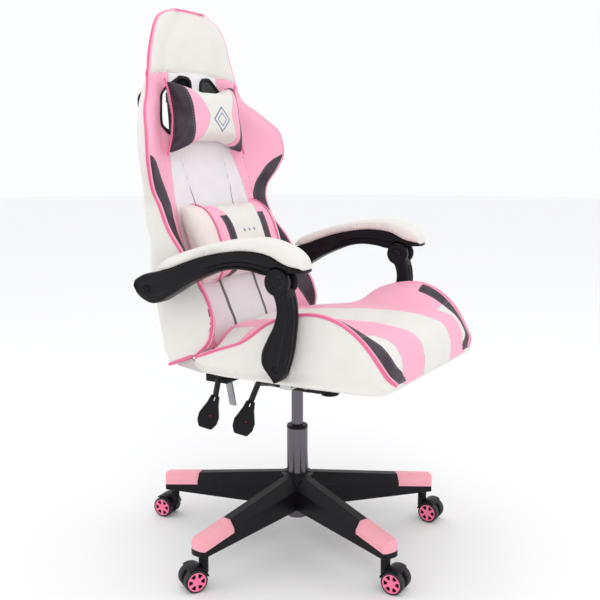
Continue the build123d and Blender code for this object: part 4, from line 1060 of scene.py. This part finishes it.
class CHAIR_OT_pillows(bpy.types.Operator):
    """Head pillow and lumbar roll, blown up by a short cloth simulation, with piping and straps"""

    bl_idname = "chair.pillows"
    bl_label = "Pillows"

    def execute(self, context):
        colours, sizes = context.scene.chair_colours, context.scene.chair_sizes
        kinds = (
            ("head_pillow", head_pillow_sheets, head_fields, mark_head, 4.5, 7.0),
            ("lumbar_pillow", lumbar_sheets, lumbar_fields, mark_lumbar, 5.0, 7.0),
        )
        for name, sheets, fields, mark, voxel, cap in kinds:
            front, rear = sheets()
            rear[[0, -1]] = front[[0, -1]]
            rear[:, [0, -1]] = front[:, [0, -1]]
            pillow = make_piece(name + "_cover", [(front, False), (rear, False)])
            inflate(pillow, voxel, 4.0, min(cap, sizes.swell / MM))
            fields(pillow)
            material = cover(name + "_cover", [
                ("peach", tuple(colours.peach)), ("pink", tuple(colours.pink)),
                ("dark", tuple(colours.charcoal))])
            embroider(material, mark)
            give(pillow, material)
            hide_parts(name)
            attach(pillow, "back")
        self.piping(colours)
        self.straps()
        return {"FINISHED"}

    @staticmethod
    def piping(colours):
        """Cord round each end panel of the head pillow and along the lumbar roll's ends."""
        t = np.linspace(-1, 1, 90)
        for side, label in ((-1, "right"), (1, "left")):
            half = smooth(HEAD_SIDE, t)
            path = stand_up(HEAD_MIDDLE, HEAD_LEAN, side * (half + 0.5), t * HEAD_HALF_HIGH * 0.985,
                            27 + 3 * np.cos(t * 1.5))
            cord_of(f"head_piping_{label}", path, 2.2, (0, 260, 993), colours.deep_pink,
                    "back")
            inner = smooth(LUMBAR_OUTER, t * 92)
            bow = 20 + 57 * (1 - np.abs(t) ** 2.6) ** 0.62
            path = stand_up(LUMBAR_MIDDLE, LUMBAR_LEAN, side * inner, t * 96, bow)
            cord_of(f"lumbar_piping_{label}", path, 1.6, (side * 60, 204, 701), colours.deep_pink,
                    "back")

    @staticmethod
    def straps():
        """Elastic bands from behind the head pillow, through the belt openings and across the rear."""
        half = np.array([(96, 288, 1030), (70, 300, 1036), (50, 318, 1042), (38, 340, 1046), (22, 357, 1046)],
                        float)
        path = np.vstack([half * [-1, 1, 1], [(0, 361, 1045)], half[::-1]])
        line = curve(path, 140)
        tangent = unit(np.gradient(line, axis=0))
        up = np.array([0.0, 0.0, 1.0])
        flat = unit(np.cross(tangent, up))
        profile = np.array([(-11, -0.9), (11, -0.9), (11.5, 0), (11, 0.9), (-11, 0.9), (-11.5, 0)])
        rings = line[:, None] + profile[None, :, :1] * up + profile[None, :, 1:] * flat[:, None]
        ends = [between(r, np.broadcast_to(r.mean(axis=0), r.shape), 2) for r in (rings[0], rings[-1])]
        strap = make_piece("head_pillow_strap", [(rings, True), *[(end, True) for end in ends]])
        give(strap, woven("strap_weave", (0.012, 0.012, 0.014)))
        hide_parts("pillow_straps")
        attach(strap, "back")


# ---------------------------------------------------------------- armrests
def plate_body(name, upper, lower, half_width, inset, rows, across=34, rim=9, crown=1.5):
    """Thick plate between two (y, z) edge lines.

    Round the section: down one side face, over the lower edge, up the other side face, over the upper
    edge.  inset(station, share, y, z) sinks the side faces; half_width(y, z) is the plate's half width.
    """
    a, b = curve(upper, rows), curve(lower, rows)
    station = np.linspace(0, 1, rows)[:, None]
    share = (1 - np.cos(np.linspace(0, math.pi, across))) / 2
    face = a[:, None] * (1 - share[None, :, None]) + b[:, None] * share[None, :, None]
    y, z = face[..., 0], face[..., 1]
    x = half_width(y, z) - inset(station, share[None, :], y, z)
    turn = np.linspace(0, math.pi, rim + 2)[1:-1]
    out_low, out_up = unit(b - a), unit(a - b)
    lower_rim = b[:, None] + out_low[:, None] * crown * np.sin(turn)[None, :, None]
    upper_rim = a[:, None] + out_up[:, None] * crown * np.sin(turn)[None, :, None]
    lower_x, upper_x = x[:, -1:] * np.cos(turn), -x[:, :1] * np.cos(turn)
    ring_x = np.concatenate([x, lower_x, -x[:, ::-1], upper_x], axis=1)
    ring_yz = np.concatenate([face, lower_rim, face[:, ::-1], upper_rim], axis=1)
    rings = np.concatenate([ring_x[..., None], ring_yz], axis=-1)
    ends = [between(r, np.broadcast_to(r.mean(axis=0), r.shape), 4) for r in (rings[0], rings[-1])]
    return [(rings, True), *[(end, True) for end in ends]]


def round_edge(share, width=0.10, depth=4.0):
    """Side faces fall away towards both edges, as a quarter ellipse."""
    near = np.clip(np.minimum(share, 1 - share) / width, 0, 1)
    return depth * (1 - np.sqrt(np.clip(1 - (1 - near) ** 2, 0, 1)))


def frame_inset(station, share, y, z):
    """Proud upper band, a ledge, a long groove and a lower lip; a bolt recess in the rear lobe."""
    mid = ease(0.20, 0.42, station) * (1 - ease(0.86, 0.97, station))
    groove = ease(0.40, 0.46, share) * (1 - ease(0.84, 0.92, share)) * mid
    deep = ease(0.56, 0.64, share) * (1 - ease(0.80, 0.88, share)) * ease(0.42, 0.52, station) * mid
    lobe = 1 - ease(0.16, 0.36, station)
    dish = lobe * 2.4 * np.sin(math.pi * np.clip((share - 0.10) / 0.72, 0, 1)) ** 2
    swoosh = lobe * -1.8 * np.exp(-((share - 0.86 + 0.35 * (0.3 - station)) / 0.05) ** 2)
    bolt = 4.5 * (1 - ease(8.0, 9.6, np.hypot(y - STUD[0], z - STUD[1])))
    boss = -2.0 * (1 - ease(10.5, 12.0, np.hypot(y - STUD[0], z - STUD[1])))
    return round_edge(share) + 2.6 * groove + 4.0 * deep + dish + swoosh + bolt + boss


def frame_half(y, z):
    """Half width: the frame narrows between the two discs at the front pivot."""
    far = np.hypot(y - FRONT_PIVOT[0], z - FRONT_PIVOT[1])
    return 6.4 + (ARM_HALF - 6.4) * ease(27.6, 29.4, far)


def post_inset(station, share, y, z):
    """Flat side with a ridge inside each edge, and a shallow bolt recess near the lower end."""
    ridge = -0.9 * (np.exp(-((share - 0.13) / 0.035) ** 2) + np.exp(-((share - 0.80) / 0.04) ** 2))
    dish = 1.7 * ease(0.16, 0.24, share) * (1 - ease(0.70, 0.78, share)) * ease(0.04, 0.14, station)
    bolt = 3.0 * (1 - ease(7.5, 9.0, np.hypot(y - SEAT_PIVOT[0], z - SEAT_PIVOT[1] + 8)))
    return round_edge(share, 0.12, 4.5) + ridge + dish + bolt


def post_half(y, z):
    """Half width: even down the post, and slimmer at the foot."""
    return 19.6 - 4.0 * ease(-500, -462, -z)


def pad_rings(ruche, rows=260, around=60):
    """Pad: a rounded box section over the frame, gathered along its lower sides."""
    top, low = curve(PAD_TOP, rows), curve(PAD_LOW, rows)
    station = np.linspace(0, 1, rows)[:, None]
    angle = np.linspace(0, 2 * math.pi, around, endpoint=False)[None, :]
    cos, sin = np.cos(angle), np.sin(angle)
    wide = np.sign(cos) * np.abs(cos) ** 0.62
    high = np.sign(sin) * np.abs(sin) ** 0.75
    taper = 0.80 + 0.20 * ease(0, 0.14, station) - 0.22 * ease(0.90, 1.0, station)
    x = PAD_HALF_WIDTH * wide * taper
    share = (high + 1) / 2
    height = top[:, None] * share[..., None] + low[:, None] * (1 - share[..., None])
    band = ease(0.04, 0.16, share) * (1 - ease(0.40, 0.62, share)) * (np.abs(cos) > 0.35)
    length = np.cumsum(np.linalg.norm(np.diff(top, axis=0, prepend=top[:1]), axis=1))[:, None]
    spacing = 7.0 + 1.6 * np.sin(length / 41.0)
    wave = np.sin(2 * math.pi * length / spacing + 2.2 * np.sin(length / 23.0) + share * 2.6)
    calm = ease(0.10, 0.3, station) * (1 - ease(0.78, 0.92, station))
    x = x * (1 + 0.02 * np.sin(math.pi * share)) + np.sign(cos) * ruche * wave * band * calm
    tuck = 1.4 * np.exp(-((share - 0.46) / 0.03) ** 2) * calm
    x = x - np.sign(cos) * tuck
    rings = np.stack([x, height[..., 0], height[..., 1]], axis=-1)
    ends = [between(r, np.broadcast_to(r.mean(axis=0), r.shape), 5) for r in (rings[0], rings[-1])]
    return [(rings, True), *[(end, True) for end in ends]]


def moved_out(sheets, side):
    """Arm sheets from the middle plane out to one side of the chair."""
    return [(sheet * [side, 1, 1] + [side * ARM_CENTRE, 0, 0], wrap) for sheet, wrap in sheets]


def disc_profile(inner, outer, radius, bolt):
    """Disc with rounded rims, and a ring groove and a raised bolt in its outer face."""
    way = 1 if outer > inner else -1
    face = outer
    return [
        (inner, 0.01), (inner, radius - 1.2), (inner + way * 1.2, radius), (face - way * 2.2, radius),
        (face - way * 0.6, radius - 0.8), (face, radius - 2.6), (face, radius * 0.44),
        (face - way * 1.2, radius * 0.41), (face - way * 1.2, bolt + 1.8), (face - way * 0.2, bolt + 0.6),
        (face + way * 1.0, bolt - 0.4), (face + way * 1.5, bolt - 2.2), (face + way * 1.5, bolt * 0.5),
        (face + way * 0.4, bolt * 0.42), (face + way * 0.4, 0.01),
    ]


class CHAIR_OT_arms(bpy.types.Operator):
    """Armrests: sculpted frames, gathered pads, posts and pivot discs"""

    bl_idname = "chair.arms"
    bl_label = "Armrests"

    def execute(self, context):
        colours, sizes = context.scene.chair_colours, context.scene.chair_sizes
        nylon = moulded("arm_nylon", tuple(colours.nylon), 0.33)
        pad_cover = cover("arm_pad_cover", [])
        for side, label in ((-1, "right"), (1, "left")):
            frame_piece = self.place(
                f"arm_frame_{label}_moulding", label, "arm", side, nylon, [f"arm_frame_{label}"],
                plate_body("frame", FRAME_UPPER, FRAME_LOWER, frame_half, frame_inset, 300, 40))
            pad = self.place(f"arm_pad_{label}_cover", label, "arm", side, pad_cover, [f"arm_pad_{label}"],
                             pad_rings(sizes.ruche / MM))
            fill_field(pad, "seam", NO_SEAM)
            post = self.place(f"arm_post_{label}_moulding", label, "post", side, nylon, [f"arm_post_{label}"],
                              plate_body("post", POST_REAR, POST_FRONT, post_half, post_inset, 180, 40))
            self.front_ridges(side, label, nylon)
            self.pivot(side, label, nylon)
        return {"FINISHED"}

    @staticmethod
    def place(name, label, body, side, material, nodes, sheets):
        piece = make_piece(name, moved_out(sheets, side))
        give(piece, material)
        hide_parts(*nodes)
        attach(piece, f"{body}_{label}")
        return piece

    @staticmethod
    def front_ridges(side, label, nylon):
        """Two upright ribs on the post's front face."""
        line = curve(POST_FRONT, 90)[6:-12]
        for offset, tag in ((-7.0, "inner"), (7.0, "outer")):
            across = np.full(len(line), side * (ARM_CENTRE + offset))
            path = np.column_stack([across, line[:, 0] - 0.6, line[:, 1]])
            rib = tube(f"arm_post_rib_{tag}_{label}", path, 2.6, (side * ARM_CENTRE, -60, 580))
            give(rib, nylon)
            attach(rib, f"post_{label}")

    @staticmethod
    def pivot(side, label, nylon):
        """Outer and inner discs, the knuckle between them, and the lower and rear bolt heads."""
        centre = side * ARM_CENTRE
        outer_face = ARM_HALF + DISC_PROUD
        pieces = []
        for way, tag in ((1, "outer"), (-1, "inner")):
            profile = disc_profile(way * (outer_face - DISC_THICK), way * outer_face, PIVOT_DISC, 6.0)
            profile = [(centre + side * x, r) for x, r in profile]
            pieces.append((turned(f"arm_pivot_disc_{tag}_{label}", profile, FRONT_PIVOT, 72), "post"))
        knuckle = [(centre + x, r) for x, r in (
            (-6.9, 0.01), (-6.9, KNUCKLE - 1), (-6.0, KNUCKLE), (-2.4, KNUCKLE), (-1.6, KNUCKLE - 1.4),
            (1.6, KNUCKLE - 1.4), (2.4, KNUCKLE), (6.0, KNUCKLE), (6.9, KNUCKLE - 1), (6.9, 0.01))]
        pieces.append((turned(f"arm_knuckle_{label}", knuckle, FRONT_PIVOT, 64), "arm"))
        low_bolt = (SEAT_PIVOT[0], SEAT_PIVOT[1] - 8)
        bolts = ((STUD, ARM_HALF - 3.0, "arm", "rear"), (low_bolt, ARM_HALF - 5.5, "post", "lower"))
        for (y, z), depth, body, tag in bolts:
            for way, face in ((1, "outer"), (-1, "inner")):
                if tag == "lower" and way < 0:
                    continue
                start = depth - 3
                head = [(start, 0.01), (start, 6.4), (depth, 6.4), (depth + 0.8, 5.4), (depth + 0.8, 3.0),
                        (depth - 0.6, 2.7), (depth - 0.6, 0.01)]
                profile = [(centre + side * way * x, r) for x, r in head]
                pieces.append((turned(f"arm_bolt_{tag}_{face}_{label}", profile, (y, z), 30), body))
        for piece, body in pieces:
            give(piece, nylon)
            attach(piece, f"{body}_{label}")


# ---------------------------------------------------------------- hard parts
class CHAIR_OT_base(bpy.types.Operator):
    """Finishes of the star base, caps and casters"""

    bl_idname = "chair.base"
    bl_label = "Base and casters"

    def execute(self, context):
        colours = context.scene.chair_colours
        nylon = moulded("base_nylon", tuple(colours.nylon), 0.38)
        dress(nylon, "star_base", edge=1.2)
        dress(leg_cap("cap_plastic", tuple(colours.cap)), "leg_caps", edge=1.0)
        dress(metal("stem_steel", tuple(colours.steel), 0.3), "caster_stems")
        rubber = tyre("caster_tread", shade(tuple(colours.nylon), 1.3))
        hub = moulded("hub_plastic", tuple(colours.hub), 0.42)
        steel = metal("axle_steel", tuple(colours.steel), 0.28)
        for k in range(1, 6):
            dress(nylon, f"caster_hood_{k}", edge=0.5)
            dress(rubber, f"caster_wheels_{k}")
            dress(hub, f"hub_inserts_{k}", edge=0.4)
            dress(steel, f"caster_axle_{k}")
        return {"FINISHED"}


class CHAIR_OT_mechanism(bpy.types.Operator):
    """Finishes of the gas lift, tilt mechanism, levers and seat structure"""

    bl_idname = "chair.mechanism"
    bl_label = "Gas lift and mechanism"

    def execute(self, context):
        colours = context.scene.chair_colours
        nylon = moulded("part_nylon", tuple(colours.nylon), 0.4)
        chrome = metal("lift_chrome", tuple(colours.chrome), 0.13, 0.02)
        steel = metal("part_steel", tuple(colours.steel), 0.32, 0.1)
        dark_steel = moulded("coated_steel", (0.02, 0.02, 0.022), 0.45, 0.002, 0.0001)
        dress(chrome, "gas_column", "gas_cylinder")
        dress(nylon, "column_bush", "height_paddle", "recline_paddle", "tension_knob", "lever_bracket")
        dress(steel, "piston_rod", "rod_bearing_and_clip", "tilt_pin", "tilt_spring", "seat_bolts",
              "recliner_pins", "tilt_lock_bar")
        pale_steel = moulded("pale_coated_steel", (0.62, 0.60, 0.58), 0.45, 0.002, 0.0001)
        dress(dark_steel, "tilt_housing", "seat_plate", "back_frame")
        dress(pale_steel, "recliner_seat_plates", "recliner_back_plates", "arm_brackets")
        dress(ribbed("lever_sleeve", (0.014, 0.014, 0.016)), "height_lever_rod", "recline_lever_rod")
        dress(plywood("seat_plywood", tuple(colours.wood)), "seat_board")
        dress(steel, "arm_pin_left", "arm_pin_right")
        self.lever_marks()
        return {"FINISHED"}

    @staticmethod
    def lever_marks():
        """A short red bar and a white dash on the outer face of each paddle."""
        for name, body in (("height_paddle", "height_lever"), ("recline_paddle", "recline_lever")):
            low, high = (np.array(corner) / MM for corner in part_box(name))
            centre = (low + high) / 2
            marks = (("bar", (0.45, 0.01, 0.02), 6.0, 16.0), ("dash", (0.6, 0.6, 0.62), 18.0, 8.0))
            for tag, colour, drop, length in marks:
                s = np.linspace(-1, 1, 15)
                path = np.column_stack([
                    centre[0] - 9.0 + 0.45 * drop + s * length * 0.2,
                    centre[1] - 3.0 + s * length / 2, centre[2] - drop + s * s * 1.5,
                ])
                mark = tube(f"{name}_{tag}", path, 1.1, centre + [40, 0, 40], 8)
                give(mark, moulded(f"{name}_{tag}", colour, 0.4))
                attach(mark, body)


# ---------------------------------------------------------------- stage
VIEW_TURN, VIEW_RISE, VIEW_DISTANCE = math.radians(-59.19), math.radians(9.75), 2.0503
VIEW_HEIGHT, VIEW_ASIDE = 0.5771, 0.0064
VIEW_LENS = 52.79


class CHAIR_OT_stage(bpy.types.Operator):
    """Pale floor, soft lights and the camera"""

    bl_idname = "chair.stage"
    bl_label = "Stage"

    def execute(self, context):
        level = math.cos(VIEW_RISE)
        back = np.array([math.sin(VIEW_TURN) * level, -math.cos(VIEW_TURN) * level, math.sin(VIEW_RISE)])
        right = np.array([math.cos(VIEW_TURN), math.sin(VIEW_TURN), 0.0])
        target = right * VIEW_ASIDE + np.array([0, 0, VIEW_HEIGHT])
        lens = bpy.data.cameras.new("camera")
        lens.lens, lens.sensor_width, lens.clip_end = VIEW_LENS, 36.0, 60.0
        camera = bpy.data.objects.new("camera", lens)
        context.collection.objects.link(camera)
        camera.location = target + back * VIEW_DISTANCE
        camera.rotation_euler = (math.pi / 2 - VIEW_RISE, 0.0, VIEW_TURN)
        context.scene.camera = camera
        self.floor(context)
        world = bpy.data.worlds.new("studio")
        world.use_nodes = True
        world.node_tree.nodes["Background"].inputs[0].default_value = (0.98, 0.985, 1.0, 1.0)
        world.node_tree.nodes["Background"].inputs[1].default_value = 1.0
        context.scene.world = world
        context.scene.view_settings.view_transform = "Standard"
        lamps = (
            ("key", (-2.6, -2.2, 3.2), 2.2, 20.0), ("fill", (1.8, -2.8, 2.0), 2.4, 5.0),
            ("top", (0.2, 0.6, 3.4), 2.6, 8.0), ("edge", (-1.8, 2.6, 1.6), 1.6, 3.0),
        )
        for name, place, size, power in lamps:
            lamp = bpy.data.lights.new(name, "AREA")
            lamp.shape, lamp.size, lamp.energy = "DISK", size, power
            holder = bpy.data.objects.new(name, lamp)
            context.collection.objects.link(holder)
            holder.location = place
            aim = np.array([0, 0, 0.6]) - np.array(place)
            holder.rotation_euler = (math.atan2(math.hypot(aim[0], aim[1]), -aim[2]), 0.0,
                                     math.atan2(aim[1], aim[0]) - math.pi / 2)
        return {"FINISHED"}

    @staticmethod
    def floor(context):
        """Flat round floor."""
        radius = np.array([0.0, 500.0, 1500.0, 4000.0, 9000.0, 16000.0])[:, None]
        turn = np.linspace(0, 2 * math.pi, 64, endpoint=False)[None, :]
        rings = np.stack([radius * np.cos(turn), radius * np.sin(turn), np.zeros((6, 64)) - 0.3], axis=-1)
        piece = make_piece("floor", [(rings, True)], merge=0.01, closed=False)
        finish = Finish("floor_paint", roughness=0.85, specular_ior_level=0.1)
        worn = finish.noise(0.6, 2.0) * 0.2
        finish.set("Base Color", finish.mix(worn, (0.95, 0.95, 0.95), (0.92, 0.92, 0.925)))
        give(piece, finish.material)


class CHAIR_PT_panel(bpy.types.Panel):
    """Makers of the chair's pieces"""

    bl_label = "Bucket chair"
    bl_idname = "CHAIR_PT_panel"
    bl_space_type = "VIEW_3D"
    bl_region_type = "UI"
    bl_category = "Chair"

    def draw(self, context):
        for operator in OPERATORS:
            self.layout.operator(operator.bl_idname)
        for group in (context.scene.chair_sizes, context.scene.chair_colours):
            for name in type(group).__annotations__:
                self.layout.prop(group, name)


OPERATORS = (CHAIR_OT_stage, CHAIR_OT_base, CHAIR_OT_mechanism, CHAIR_OT_seat, CHAIR_OT_back,
             CHAIR_OT_pillows, CHAIR_OT_arms)
CLASSES = (ChairColours, ChairSizes, *OPERATORS, CHAIR_PT_panel)


def register():
    for item in CLASSES:
        bpy.utils.register_class(item)
    bpy.types.Scene.chair_colours = PointerProperty(type=ChairColours)
    bpy.types.Scene.chair_sizes = PointerProperty(type=ChairSizes)


def unregister():
    del bpy.types.Scene.chair_sizes
    del bpy.types.Scene.chair_colours
    for item in reversed(CLASSES):
        bpy.utils.unregister_class(item)


def main():
    register()
    for operator in OPERATORS:
        group, name = operator.bl_idname.split(".")
        getattr(getattr(bpy.ops, group), name)()


if __name__ == "__main__":
    main()
